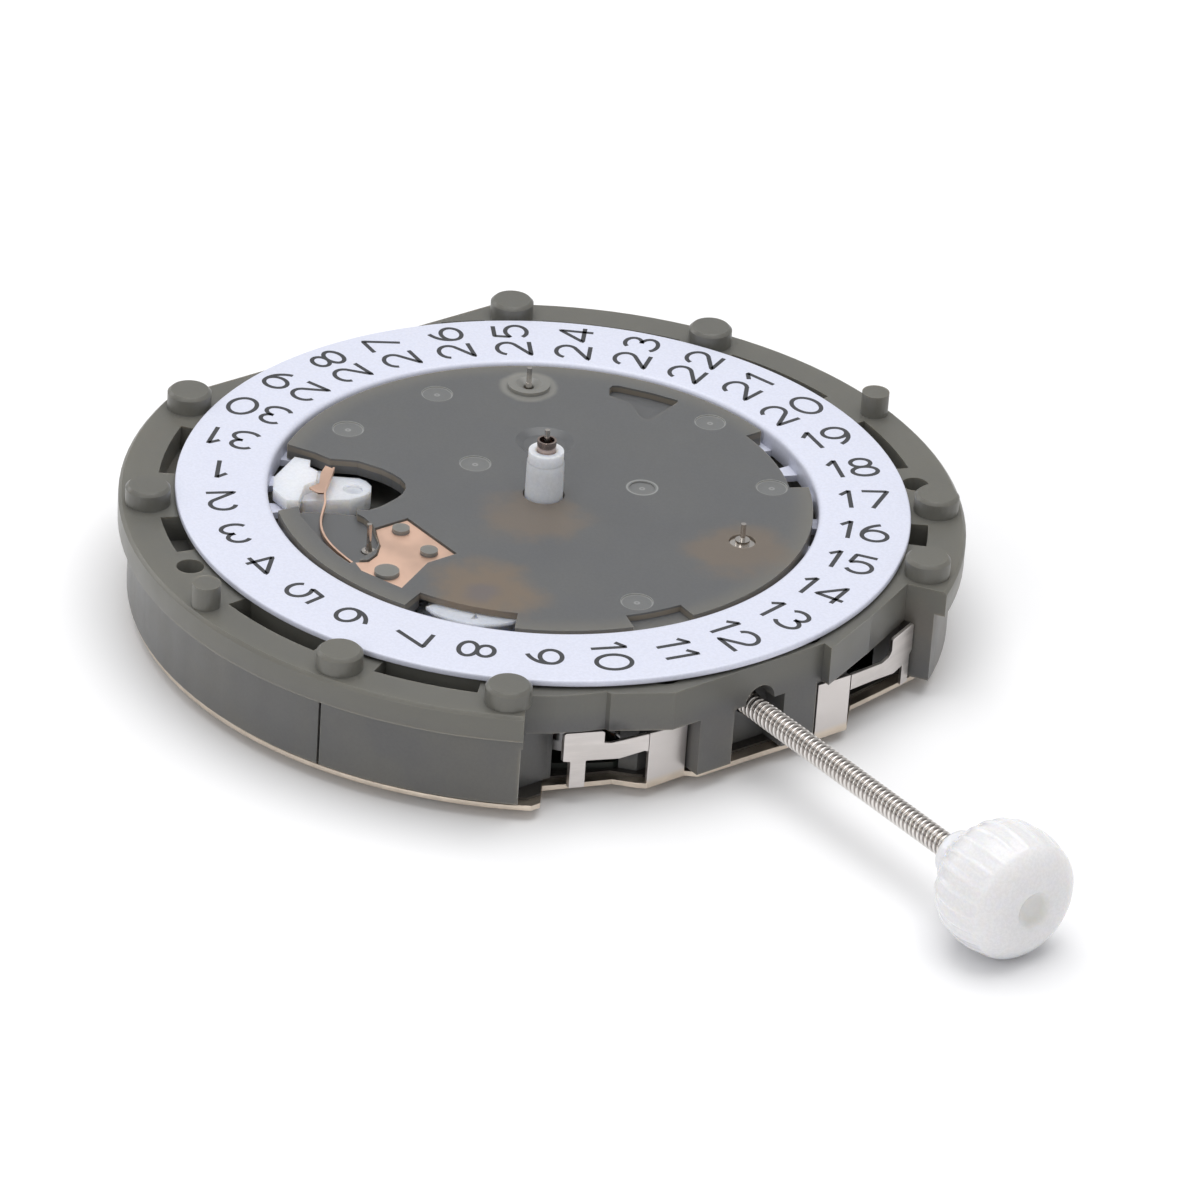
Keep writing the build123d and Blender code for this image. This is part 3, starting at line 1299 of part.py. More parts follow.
with BuildPart() as counter_arbor:
    with BuildSketch(Plane(origin=(*counter_axle_place, bridge_bottom))):
        Circle(pivot_radius)
    extrude(amount=bridge_thickness)
    with BuildSketch(Plane(origin=(*counter_axle_place, bridge_top))):
        Circle(arbor_radius)
    extrude(amount=calendar_bottom - face_clearance - bridge_top)
    with Locations((*counter_axle_place, calendar_bottom - face_clearance)):
        Cone(arbor_radius, counter_shoulder_radius,
             boss_top + 2 * face_clearance - calendar_bottom,
             align=(Align.CENTER, Align.CENTER, Align.MIN))
    with BuildSketch(Plane(origin=(*counter_axle_place, boss_top + face_clearance))):
        Circle(counter_axle_radius)
    extrude(amount=counter_axle_top - boss_top - face_clearance)
counter_arbor.part.label = "counter_arbor"
export_step(counter_arbor.part, "parts/counter_arbor.step")

# Motors: each has a stator, a coil core laid on its ends and a winding


def coil_plane(circle, angle, height):
    """Plane whose x runs along a coil that lies square to a radius."""
    place = at_angle(circle, angle)
    along = at_angle(1, angle + 90)
    return Plane(origin=(*place, height), x_dir=(*along, 0), z_dir=(0, 0, 1))


core_reach = (coil_core_length - coil_tab_length) / 2


def coil_end(circle, angle, side):
    """Middle of one end tab of a coil core."""
    return step_from(at_angle(circle, angle), side * core_reach, angle + 90)


def arm_knee(circle, angle, side):
    """Corner of a stator arm, clear of the winding on its inner side."""
    inner = circle - winding_radius - stator_arm_width / 2 - 2 * wheel_clearance
    return step_from(at_angle(inner, angle), side * core_reach, angle + 90)


coil_core_bottom = stator_bottom - coil_core_thickness
chrono_core_bottom = chrono_stator_bottom + chrono_stator_thickness

with BuildPart() as stator:
    with BuildSketch(Plane.XY.offset(stator_bottom)):
        for side in (-1, 1):
            tab = coil_end(coil_circle, coil_angle, side)
            knee = arm_knee(coil_circle, coil_angle, side)
            lobe_reach = (stator_hole_radius + stator_lobe_radius) / 2
            lobe = step_from(rotor_place, lobe_reach, bearing(rotor_place, knee))
            with BuildLine():
                arm = Polyline(lobe, knee, tab)
            trace(arm, stator_arm_width)
            with Locations(tab):
                Circle(coil_tab_width / 2)
        with Locations(rotor_place):
            Circle(stator_lobe_radius)
            Circle(stator_hole_radius, mode=Mode.SUBTRACT)
    extrude(amount=stator_thickness)
stator.part.label = "stator"
export_step(stator.part, "parts/stator.step")

with BuildPart() as coil_core:
    with BuildSketch(coil_plane(coil_circle, coil_angle, coil_core_bottom)):
        Rectangle(coil_core_length, coil_core_width)
        with Locations((-core_reach, 0), (core_reach, 0)):
            Rectangle(coil_tab_length, coil_tab_width)
    extrude(amount=coil_core_thickness)
coil_core.part.label = "coil_core"
export_step(coil_core.part, "parts/coil_core.step")

coil_axis_height = coil_core_bottom + coil_core_thickness / 2
chrono_axis_height = chrono_core_bottom + coil_core_thickness / 2


def winding_plane(circle, angle, height, offset_along):
    """Plane square to a coil's length, at an offset from its middle."""
    along = at_angle(1, angle + 90)
    place = step_from(at_angle(circle, angle), offset_along, angle + 90)
    return Plane(origin=(*place, height), x_dir=(*at_angle(1, angle), 0), z_dir=(*along, 0))


with BuildPart() as coil_winding:
    with BuildSketch(winding_plane(coil_circle, coil_angle, coil_axis_height,
                                   -winding_length / 2)):
        Circle(winding_radius)
        Rectangle(coil_core_width, coil_core_thickness, mode=Mode.SUBTRACT)
    extrude(amount=winding_length)
coil_winding.part.label = "coil_winding"
export_step(coil_winding.part, "parts/coil_winding.step")

with BuildPart() as chrono_stator:
    with BuildSketch(Plane.XY.offset(chrono_stator_bottom)):
        for side in (-1, 1):
            tab = coil_end(chrono_coil_circle, chrono_coil_angle, side)
            knee = arm_knee(chrono_coil_circle, chrono_coil_angle, side)
            lobe_reach = (chrono_stator_hole_radius + chrono_stator_lobe_radius) / 2
            lobe = step_from(chrono_rotor_place, lobe_reach, bearing(chrono_rotor_place, knee))
            with BuildLine():
                arm = Polyline(lobe, knee, tab)
            trace(arm, stator_arm_width)
            with Locations(tab):
                Circle(coil_tab_width / 2)
        with Locations(chrono_rotor_place):
            Circle(chrono_stator_lobe_radius)
            Circle(chrono_stator_hole_radius, mode=Mode.SUBTRACT)
    extrude(amount=chrono_stator_thickness)
chrono_stator.part.label = "chrono_stator"
export_step(chrono_stator.part, "parts/chrono_stator.step")

with BuildPart() as chrono_coil_core:
    with BuildSketch(coil_plane(chrono_coil_circle, chrono_coil_angle, chrono_core_bottom)):
        Rectangle(coil_core_length, coil_core_width)
        with Locations((-core_reach, 0), (core_reach, 0)):
            Rectangle(coil_tab_length, coil_tab_width)
    extrude(amount=coil_core_thickness)
chrono_coil_core.part.label = "chrono_coil_core"
export_step(chrono_coil_core.part, "parts/chrono_coil_core.step")

with BuildPart() as chrono_coil_winding:
    with BuildSketch(winding_plane(chrono_coil_circle, chrono_coil_angle, chrono_axis_height,
                                   -winding_length / 2)):
        Circle(winding_radius)
        Rectangle(coil_core_width, coil_core_thickness, mode=Mode.SUBTRACT)
    extrude(amount=winding_length)
chrono_coil_winding.part.label = "chrono_coil_winding"
export_step(chrono_coil_winding.part, "parts/chrono_coil_winding.step")

# Power and electronics

with BuildPart() as battery:
    with BuildSketch(Plane(origin=(*battery_place, battery_bottom))):
        Circle(battery_radius)
    extrude(amount=battery_height - battery_cap_height)
    fillet(battery.edges().group_by(Axis.Z)[0], battery_cap_height / 2)
    with BuildSketch(Plane(origin=(*battery_place,
                                   battery_bottom + battery_height - battery_cap_height))):
        Circle(battery_cap_radius)
    extrude(amount=battery_cap_height)
battery.part.label = "battery"
export_step(battery.part, "parts/battery.step")

battery_top = battery_bottom + battery_height
contact_line = bearing(battery_place, contact_leg_place)
contact_reach = hypot(contact_leg_place[0] - battery_place[0],
                      contact_leg_place[1] - battery_place[1])
contact_plane = Plane(origin=(*battery_place, battery_top),
                      x_dir=(*at_angle(1, contact_line), 0), z_dir=(0, 0, 1))

with BuildPart() as battery_contact:
    with BuildSketch(contact_plane):
        with Locations((contact_reach / 2, 0)):
            Rectangle(contact_reach, contact_width)
        Circle(contact_width)
    extrude(amount=contact_thickness)
    with BuildSketch(contact_plane):
        with Locations((contact_reach, 0)):
            Rectangle(contact_thickness, contact_width)
    extrude(amount=board_top - battery_top)
battery_contact.part.label = "battery_contact"
export_step(battery_contact.part, "parts/battery_contact.step")

with BuildPart() as battery_clamp:
    with BuildSketch(Plane(origin=(*battery_place, body_foot))):
        add(ring_sector(battery_radius, battery_radius + clamp_thickness, clamp_start_angle,
                        clamp_start_angle + clamp_sweep))
    extrude(amount=clamp_height)
battery_clamp.part.label = "battery_clamp"
export_step(battery_clamp.part, "parts/battery_clamp.step")

with BuildPart() as circuit_board:
    with BuildSketch(Plane.XY.offset(body_foot)):
        add(ring_sector(board_inner_radius, board_outer_radius, board_start_angle,
                        board_start_angle + board_sweep))
        with BuildSketch(mode=Mode.PRIVATE) as board_limit:
            with Locations(((cavity_left + cavity_right) / 2, 0)):
                Rectangle(cavity_right - cavity_left - 2 * wheel_clearance, 2 * rim_radius)
        add(board_limit.sketch, mode=Mode.INTERSECT)
        with Locations(battery_place):
            Circle(battery_radius + 2 * clamp_thickness, mode=Mode.SUBTRACT)
        with Locations(*bridge_standoffs):
            Circle(bridge_screw_head_radius + wheel_clearance, mode=Mode.SUBTRACT)
    extrude(amount=board_thickness)
circuit_board.part.label = "circuit_board"
export_step(circuit_board.part, "parts/circuit_board.step")

with BuildPart() as control_chip:
    with BuildSketch(Plane(origin=(*at_angle(chip_circle, chip_angle), board_top))):
        Rectangle(chip_side, chip_side, rotation=chip_angle)
    extrude(amount=chip_thickness)
control_chip.part.label = "control_chip"
export_step(control_chip.part, "parts/control_chip.step")

with BuildPart() as quartz_crystal:
    crystal_axis_height = board_top + crystal_radius
    with BuildSketch(Plane(origin=(crystal_place[0] - crystal_length / 2, crystal_place[1],
                                   crystal_axis_height), x_dir=(0, 1, 0), z_dir=(1, 0, 0))):
        Circle(crystal_radius)
    extrude(amount=crystal_length)
    with BuildSketch(Plane(origin=(crystal_place[0] + crystal_length / 2, crystal_place[1],
                                   crystal_axis_height), x_dir=(0, 1, 0), z_dir=(1, 0, 0))):
        with Locations((-crystal_radius / 2, 0), (crystal_radius / 2, 0)):
            Circle(crystal_lead_radius)
    extrude(amount=crystal_lead_length / 2)
quartz_crystal.part.label = "quartz_crystal"
export_step(quartz_crystal.part, "parts/quartz_crystal.step")

# Train bridge and its screws

with BuildPart() as train_bridge:
    with BuildSketch(Plane.XY.offset(bridge_bottom)):
        with Locations(centre, third_place, seconds_axle_place, intermediate_place, rotor_place,
                       chrono_rotor_place, counter_intermediate_place, counter_axle_place,
                       *bridge_standoffs):
            Circle(bridge_pad_radius)
        make_hull()
        with Locations(battery_place):
            Circle(battery_radius + clamp_thickness + wheel_clearance, mode=Mode.SUBTRACT)
        with Locations(centre, third_place, seconds_axle_place, intermediate_place, rotor_place,
                       chrono_rotor_place, chrono_intermediate_place,
                       counter_intermediate_place, counter_axle_place):
            Circle(pivot_radius + bearing_play, mode=Mode.SUBTRACT)
        with Locations(*bridge_standoffs):
            Circle(bridge_screw_radius, mode=Mode.SUBTRACT)
    extrude(amount=bridge_thickness)
train_bridge.part.label = "train_bridge"
export_step(train_bridge.part, "parts/train_bridge.step")

with BuildPart() as bridge_screws:
    with BuildSketch(Plane.XY.offset(bridge_bottom - bridge_screw_head_height)):
        with Locations(*bridge_standoffs):
            Circle(bridge_screw_head_radius)
    extrude(amount=bridge_screw_head_height)
    with BuildSketch(Plane.XY.offset(bridge_bottom)):
        with Locations(*bridge_standoffs):
            Circle(bridge_screw_radius)
    extrude(amount=bridge_screw_length)
bridge_screws.part.label = "bridge_screws"
export_step(bridge_screws.part, "parts/bridge_screws.step")

# Back cover, its insulating sheet and its screws


def side_limit(size):
    """Area inside the cover's edge on the crown side and inside the far flat."""
    with BuildSketch() as outline:
        with BuildLine():
            Polyline(*scaled(cover_side_shares, size), close=True)
        make_face()
    return outline.sketch


def cover_face(radius, margin, hatch_radius, hole_radius):
    """Round sheet with the two flats, the battery hatch and the screw holes."""
    with BuildSketch() as outline:
        Circle(radius)
        add(side_limit(crown_flat - margin), mode=Mode.INTERSECT)
        with Locations(battery_place):
            Circle(hatch_radius, mode=Mode.SUBTRACT)
        with Locations(*[at_angle(cover_screw_circle, a) for a in cover_screw_angles]):
            Circle(hole_radius, mode=Mode.SUBTRACT)
    return outline.sketch


hatch_radius = battery_radius + battery_hatch_gap

# Uprights seen from the crown side, in shares of the crown flat: along +Y, then up
low_sheet_shares = ((-0.219, 0), (-0.219, 0.160), (-0.3435, 0.1695), (-0.3435, 0))
high_sheet_shares = ((0.186, 0), (0.186, 0.171), (0.296, 0.1695), (0.296, 0))

with BuildPart() as back_cover:
    with BuildSketch(Plane.XY):
        add(cover_face(cover_radius, 0, hatch_radius, cover_screw_head_radius))
    extrude(amount=cover_thickness)
    # The two upright sheets that the pusher springs grow from
    for knee_share, outline_shares in ((low_knee_share, low_sheet_shares),
                                       (high_knee_share, high_sheet_shares)):
        with BuildSketch(Plane(origin=(knee_share[0] * crown_flat, 0, 0), x_dir=(0, 1, 0),
                               z_dir=(1, 0, 0))):
            with BuildLine():
                Polyline(*scaled(outline_shares, crown_flat), close=True)
            make_face()
        extrude(amount=-upstand_thickness)
back_cover.part.label = "back_cover"
export_step(back_cover.part, "parts/back_cover.step")

with BuildPart() as insulator_sheet:
    with BuildSketch(Plane.XY.offset(cover_thickness)):
        add(cover_face(wall_radius - overrun, insulator_margin, hatch_radius,
                       cover_screw_radius))
    extrude(amount=insulator_thickness)
insulator_sheet.part.label = "insulator_sheet"
export_step(insulator_sheet.part, "parts/insulator_sheet.step")

with BuildPart() as cover_screws:
    with BuildSketch(Plane.XY):
        with Locations(*[at_angle(cover_screw_circle, a) for a in cover_screw_angles]):
            Circle(cover_screw_head_radius)
    extrude(amount=cover_thickness)
    with BuildSketch(Plane.XY.offset(cover_thickness)):
        with Locations(*[at_angle(cover_screw_circle, a) for a in cover_screw_angles]):
            Circle(cover_screw_radius)
    extrude(amount=cover_screw_length)
cover_screws.part.label = "cover_screws"
export_step(cover_screws.part, "parts/cover_screws.step")

# Stem with its threaded end, and the crown screwed on it

with BuildPart() as stem:
    with BuildSketch(across_stem(stem_pilot_start)):
        Circle(stem_pilot_radius)
    extrude(amount=stem_square_start - stem_pilot_start)
    with BuildSketch(across_stem(stem_square_start)):
        Rectangle(stem_square_side, stem_square_side)
    extrude(amount=stem_square_end - stem_square_start)
    with BuildSketch(across_stem(stem_square_end)):
        Circle(stem_radius)
    extrude(amount=stem_groove_start - stem_square_end)
    with BuildSketch(across_stem(stem_groove_start)):
        Circle(stem_groove_radius)
    extrude(amount=stem_groove_width)
    with BuildSketch(across_stem(stem_groove_start + stem_groove_width)):
        Circle(stem_radius)
    extrude(amount=thread_start - stem_groove_start - stem_groove_width)
    # Threaded end, drawn as one ridge for each pitch
    turns = int((crown_start - thread_start) / thread_pitch)
    ridge = [(thread_start, 0), (thread_start, stem_radius - thread_depth)]
    for turn in range(turns):
        foot = thread_start + turn * thread_pitch
        ridge.append((foot + thread_pitch / 2, stem_radius))
        ridge.append((foot + thread_pitch, stem_radius - thread_depth))
    ridge.append((thread_end, stem_radius - thread_depth))
    ridge.append((thread_end, 0))
    with BuildSketch(Plane.XZ):
        with BuildLine():
            Polyline(*[(x, y + stem_height) for x, y in ridge], close=True)
        make_face()
    revolve(axis=Axis((0, 0, stem_height), (1, 0, 0)))
stem.part.label = "stem"
export_step(stem.part, "parts/stem.step")

with BuildPart() as crown:
    crown_profile = [(crown_start + along * crown_length, stem_height + out * crown_radius)
                     for along, out in crown_profile_shares]
    with BuildSketch(Plane.XZ):
        with BuildLine():
            Polyline(*crown_profile, close=True)
        make_face()
    revolve(axis=Axis((0, 0, stem_height), (1, 0, 0)))
    with BuildSketch(across_stem(crown_start + crown_rib_start)):
        with PolarLocations(crown_rib_circle, crown_rib_count):
            Circle(crown_rib_radius)
    extrude(amount=crown_rib_length)
    with BuildSketch(across_stem(crown_start - overrun)):
        Circle(stem_radius - thread_depth)
    extrude(amount=crown_bore_length + overrun, mode=Mode.SUBTRACT)
crown.part.label = "crown"
export_step(crown.part, "parts/crown.step")

with BuildPart() as sliding_pinion:
    with BuildSketch(across_stem(pinion_start)):
        Circle(pinion_radius)
    extrude(amount=pinion_length)
    with BuildSketch(across_stem(pinion_groove_start)):
        Circle(pinion_radius + overrun)
        Circle(pinion_groove_radius, mode=Mode.SUBTRACT)
    extrude(amount=pinion_groove_width, mode=Mode.SUBTRACT)
    with BuildSketch(across_stem(pinion_start)):
        with PolarLocations(pinion_radius, pinion_teeth):
            Rectangle(pinion_radius, pinion_tooth_gap)
    extrude(amount=pinion_tooth_length, mode=Mode.SUBTRACT)
    with BuildSketch(across_stem(pinion_start - overrun)):
        Rectangle(stem_square_side + 2 * running_clearance,
                  stem_square_side + 2 * running_clearance)
    extrude(amount=pinion_length + 2 * overrun, mode=Mode.SUBTRACT)
sliding_pinion.part.label = "sliding_pinion"
export_step(sliding_pinion.part, "parts/sliding_pinion.step")

lever_pin_place = (stem_groove_start + stem_groove_width / 2, 0)

with BuildPart() as setting_lever:
    with BuildSketch(Plane.XY.offset(lever_bottom)):
        with Locations(lever_pivot, lever_pin_place, lever_tail):
            Circle(lever_width / 2)
        with BuildLine():
            Polyline(lever_pin_place, lever_pivot, lever_tail)
        trace(line_width=lever_width)
        with Locations(lever_pivot):
            Circle(lever_pivot_radius, mode=Mode.SUBTRACT)
    extrude(amount=lever_thickness)
    with BuildSketch(Plane.XY.offset(lever_bottom)):
        with Locations(lever_pin_place):
            Circle(lever_pin_radius)
    extrude(amount=stem_height - stem_groove_radius - face_clearance - lever_bottom)
setting_lever.part.label = "setting_lever"
export_step(setting_lever.part, "parts/setting_lever.step")

groove_middle = pinion_groove_start + pinion_groove_width / 2
yoke_inner = -pinion_radius - face_clearance

with BuildPart() as yoke:
    with BuildSketch(Plane.XY.offset(lever_bottom)):
        with Locations((groove_middle + yoke_prong_width, yoke_inner - yoke_width / 2)):
            Rectangle(yoke_length, yoke_width)
        with Locations((pinion_groove_start + pinion_groove_width + yoke_slot_travel / 2,
                        -pinion_radius - yoke_width / 2)):
            SlotCenterToCenter(yoke_slot_travel, 2 * (yoke_pin_radius + running_clearance),
                               mode=Mode.SUBTRACT)
    extrude(amount=lever_thickness)
    with BuildSketch(Plane.XY.offset(lever_bottom)):
        with Locations((groove_middle, (yoke_inner - pinion_groove_radius) / 2
                        - face_clearance)):
            Rectangle(yoke_prong_width, pinion_radius - pinion_groove_radius)
    extrude(amount=stem_height - lever_bottom)
yoke.part.label = "yoke"
export_step(yoke.part, "parts/yoke.step")

# Pusher springs: arm, tab and leg, seen from the crown side, in shares of the crown flat: along
# +Y, then up. Each arm slants inward from the knee to its end.
low_spring_shares = ((-0.3435, 0.1690), (-0.403, 0.156), (-0.436, 0.149), (-0.455, 0.151),
                     (-0.455, 0.181), (-0.461, 0.186), (-0.549, 0.186), (-0.555, 0.180),
                     (-0.555, 0.101), (-0.537, 0.098), (-0.537, 0.019), (-0.499, 0.019),
                     (-0.499, 0.100), (-0.416, 0.099), (-0.355, 0.117), (-0.3435, 0.114))
high_spring_shares = ((0.296, 0.1690), (0.372, 0.152), (0.445, 0.136), (0.476, 0.140),
                      (0.487, 0.152), (0.487, 0.185), (0.494, 0.189), (0.577, 0.196),
                      (0.584, 0.190), (0.584, 0.112), (0.574, 0.101), (0.574, 0.019),
                      (0.543, 0.019), (0.543, 0.082), (0.503, 0.076), (0.404, 0.100),
                      (0.305, 0.121), (0.296, 0.121))

for spring_name, spring_shares, knee_share, end_share in (
        ("pusher_spring_low", low_spring_shares, low_knee_share, low_end_share),
        ("pusher_spring_high", high_spring_shares, high_knee_share, high_end_share)):
    knee = (knee_share[0] * crown_flat, knee_share[1] * crown_flat)
    end = (end_share[0] * crown_flat, end_share[1] * crown_flat)
    side = 1 if end[1] > knee[1] else -1
    with BuildPart() as pusher_spring:
        with BuildSketch(Plane.XY):
            with BuildLine():
                Polyline((knee[0], knee[1] + side * spring_gap), end,
                         (end[0] - spring_thickness, end[1]),
                         (knee[0] - spring_thickness, knee[1] + side * spring_gap), close=True)
            make_face()
        extrude(amount=ring_top)
        with BuildSketch(Plane(origin=(cavity_right - overrun, 0, 0), x_dir=(0, 1, 0),
                               z_dir=(1, 0, 0))):
            with BuildLine():
                Polyline(*scaled(spring_shares, crown_flat), close=True)
            make_face()
        extrude(amount=crown_flat - cavity_right + 2 * overrun, mode=Mode.INTERSECT)
    pusher_spring.part.label = spring_name
    export_step(pusher_spring.part, "parts/" + spring_name + ".step")
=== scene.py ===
"""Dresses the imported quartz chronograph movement: numerals, crown, thread, finishes and studio.

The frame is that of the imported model: +X along the stem to the crown, +Y towards 12 o'clock, +Z
towards the dial. Blender's unit is the metre. Lengths are written in millimetres, and MM turns
them into metres.
"""

import json

import bmesh
import bpy
import numpy as np
from bpy.props import FloatProperty, FloatVectorProperty, IntProperty, PointerProperty
from mathutils import Matrix, Vector


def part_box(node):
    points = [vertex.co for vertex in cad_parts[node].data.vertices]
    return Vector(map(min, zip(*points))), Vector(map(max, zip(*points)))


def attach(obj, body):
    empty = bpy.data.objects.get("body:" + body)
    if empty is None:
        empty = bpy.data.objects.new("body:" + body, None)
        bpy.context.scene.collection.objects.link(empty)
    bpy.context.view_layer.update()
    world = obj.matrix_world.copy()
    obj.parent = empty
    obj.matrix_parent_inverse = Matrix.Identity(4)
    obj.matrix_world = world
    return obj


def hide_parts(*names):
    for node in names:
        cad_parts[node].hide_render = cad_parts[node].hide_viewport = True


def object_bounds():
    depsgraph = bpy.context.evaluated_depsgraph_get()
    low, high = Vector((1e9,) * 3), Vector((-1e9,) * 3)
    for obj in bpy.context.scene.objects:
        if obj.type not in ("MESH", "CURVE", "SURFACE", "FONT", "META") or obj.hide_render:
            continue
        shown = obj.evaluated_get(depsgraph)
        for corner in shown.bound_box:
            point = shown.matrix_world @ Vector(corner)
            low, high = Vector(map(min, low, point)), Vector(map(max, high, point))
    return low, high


bl_info = {
    "name": "Quartz chronograph movement",
    "version": (1, 0, 0),
    "blender": (4, 5, 0),
    "location": "View3D > Sidebar > Movement",
    "description": "Numerals, crown, thread, finishes and studio for the packed movement",
    "category": "Object",
}

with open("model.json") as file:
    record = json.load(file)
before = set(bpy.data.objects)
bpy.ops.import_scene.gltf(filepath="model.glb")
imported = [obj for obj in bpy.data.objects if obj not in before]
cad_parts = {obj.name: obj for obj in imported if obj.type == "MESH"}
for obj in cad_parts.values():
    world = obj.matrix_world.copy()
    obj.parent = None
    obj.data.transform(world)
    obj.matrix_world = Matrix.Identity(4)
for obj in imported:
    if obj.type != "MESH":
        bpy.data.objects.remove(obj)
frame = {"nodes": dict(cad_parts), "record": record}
cad_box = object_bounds()

MM = 0.001
DAYS = 31
RING_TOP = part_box("date_ring")[1].z / MM
STEM_HEIGHT = (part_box("stem")[0].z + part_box("stem")[1].z) / 2 / MM

# The calendar plate's box reaches up to its boss, and out to a lip past the radius that the
# places on it are shares of
BOSS_HEIGHT = 0.15
PLATE_LIP = 0.22
PLATE_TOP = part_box("calendar_plate")[1].z / MM - BOSS_HEIGHT

# What a band of tint is measured along: the height, the distance from the upright axis through
# the centre, or the distance from the stem's axis
HEIGHT = (0.0, 0.0, 1.0)
FROM_CENTRE = (1.0, 1.0, 0.0)
FROM_STEM = (0.0, 1.0, 1.0)

# Warm tint of painted light that comes through thin plastic
PAINTED_WARM_LIGHT = (0.175, 0.135, 0.098)
NICKEL = (0.64, 0.605, 0.585)
FINE_LINES = (400.0, 400.0, 4000.0)


# Sizes and colours that a user would change

class MovementSizes(bpy.types.PropertyGroup):
    """Sizes of the pieces that are made here, in millimetres."""

    numeral_height: FloatProperty(
        name="Numeral height", description="Height of a printed date numeral, in mm",
        default=1.43, min=0.2, max=3.0)
    numeral_stroke: FloatProperty(
        name="Numeral stroke", description="Width of the printed line, in mm",
        default=0.17, min=0.02, max=0.5)
    numeral_circle: FloatProperty(
        name="Numeral circle", description="Radius that the numerals are centred on, in mm",
        default=11.80, min=8.0, max=14.0)
    first_angle: FloatProperty(
        name="Angle of day 1", description="Angle of the numeral 1 from +X, in degrees",
        default=231.03, min=0.0, max=360.0)
    crown_ribs: IntProperty(
        name="Crown ribs", description="Number of grip ribs round the crown",
        default=24, min=6, max=60)
    rib_height: FloatProperty(
        name="Rib height", description="How far a grip rib stands out, in mm",
        default=0.09, min=0.0, max=0.4)
    thread_pitch: FloatProperty(
        name="Thread pitch", description="Distance from one thread crest to the next, in mm",
        default=0.225, min=0.1, max=1.0)
    thread_depth: FloatProperty(
        name="Thread depth", description="Depth of the stem's thread, in mm",
        default=0.10, min=0.0, max=0.3)


class MovementColours(bpy.types.PropertyGroup):
    """Base colours of the finishes."""

    plate: FloatVectorProperty(
        name="Main plate", description="Olive-grey moulded plastic", subtype="COLOR",
        default=(0.100, 0.100, 0.100), min=0.0, max=1.0)
    calendar: FloatVectorProperty(
        name="Calendar plate", description="Grey moulded plastic", subtype="COLOR",
        default=(0.108, 0.111, 0.115), min=0.0, max=1.0)
    ring: FloatVectorProperty(
        name="Date ring", description="Blue-white printed plastic", subtype="COLOR",
        default=(0.66, 0.68, 0.79), min=0.0, max=1.0)
    ink: FloatVectorProperty(
        name="Numerals", description="Printing ink", subtype="COLOR",
        default=(0.035, 0.037, 0.042), min=0.0, max=1.0)
    crown: FloatVectorProperty(
        name="Crown", description="Milky plastic", subtype="COLOR",
        default=(0.74, 0.74, 0.76), min=0.0, max=1.0)
    copper: FloatVectorProperty(
        name="Copper spring", description="Pale copper sheet", subtype="COLOR",
        default=(0.80, 0.56, 0.44), min=0.0, max=1.0)


class StageSettings(bpy.types.PropertyGroup):
    """Floor and light."""

    floor: FloatVectorProperty(
        name="Floor", description="Colour of the floor", subtype="COLOR",
        default=(0.92, 0.92, 0.93), min=0.0, max=1.0)
    key_power: FloatProperty(
        name="Key light", description="Power of the soft key light", unit="POWER",
        default=0.75, min=0.0, max=20.0)
    sky_strength: FloatProperty(
        name="Sky", description="Strength of the even light from all round",
        default=0.50, min=0.0, max=5.0)


# Surfaces worked out with numpy

def grid_faces(rows, columns, close_rows, close_columns):
    """Four-sided faces between neighbours of a grid of points, wrapped round where it closes."""
    row = np.arange(rows if close_rows else rows - 1)
    column = np.arange(columns if close_columns else columns - 1)
    i, j = np.meshgrid(row, column, indexing="ij")
    up = (i + 1) % rows
    on = (j + 1) % columns
    faces = np.stack([i * columns + j, i * columns + on, up * columns + on, up * columns + j], -1)
    return faces.reshape(-1, 4)


def softened(points, rounds):
    """Cuts the corners of an open line, several times over: each side keeps its middle half, from
    a quarter to three quarters of its length, and the line keeps its two ends."""
    points = np.asarray(points, float)
    for _ in range(rounds):
        before = points[:-1]
        after = points[1:]
        cut = np.stack([0.75 * before + 0.25 * after, 0.25 * before + 0.75 * after], 1)
        points = np.vstack([points[:1], cut.reshape(-1, 2), points[-1:]])
    return points


def rounded(corners, size, steps):
    """Closed outline whose corners are curves: each runs from size before a corner to size after
    it, as a quadratic curve with the corner as its middle control point."""
    corners = np.asarray(corners, float)
    back = np.roll(corners, 1, axis=0) - corners
    ahead = np.roll(corners, -1, axis=0) - corners
    back_length = np.linalg.norm(back, axis=1, keepdims=True)
    ahead_length = np.linalg.norm(ahead, axis=1, keepdims=True)
    most = 0.45
    start = corners + back / back_length * np.minimum(size, back_length * most)
    stop = corners + ahead / ahead_length * np.minimum(size, ahead_length * most)
    t = np.linspace(0, 1, steps)[None, :, None]
    curve = ((1 - t) ** 2 * start[:, None] + 2 * t * (1 - t) * corners[:, None]
             + t ** 2 * stop[:, None])
    return curve.reshape(-1, 2)


def turned(profile, steps):
    """Profile of radius and height turned about the upright axis through the centre: x and y are
    the radius times the cosine and sine of the angle."""
    angle = np.linspace(0, 2 * np.pi, steps, endpoint=False)
    radius = profile[:, 0][:, None]
    z = np.repeat(profile[:, 1][:, None], steps, axis=1)
    return np.stack([radius * np.cos(angle), radius * np.sin(angle), z], -1)


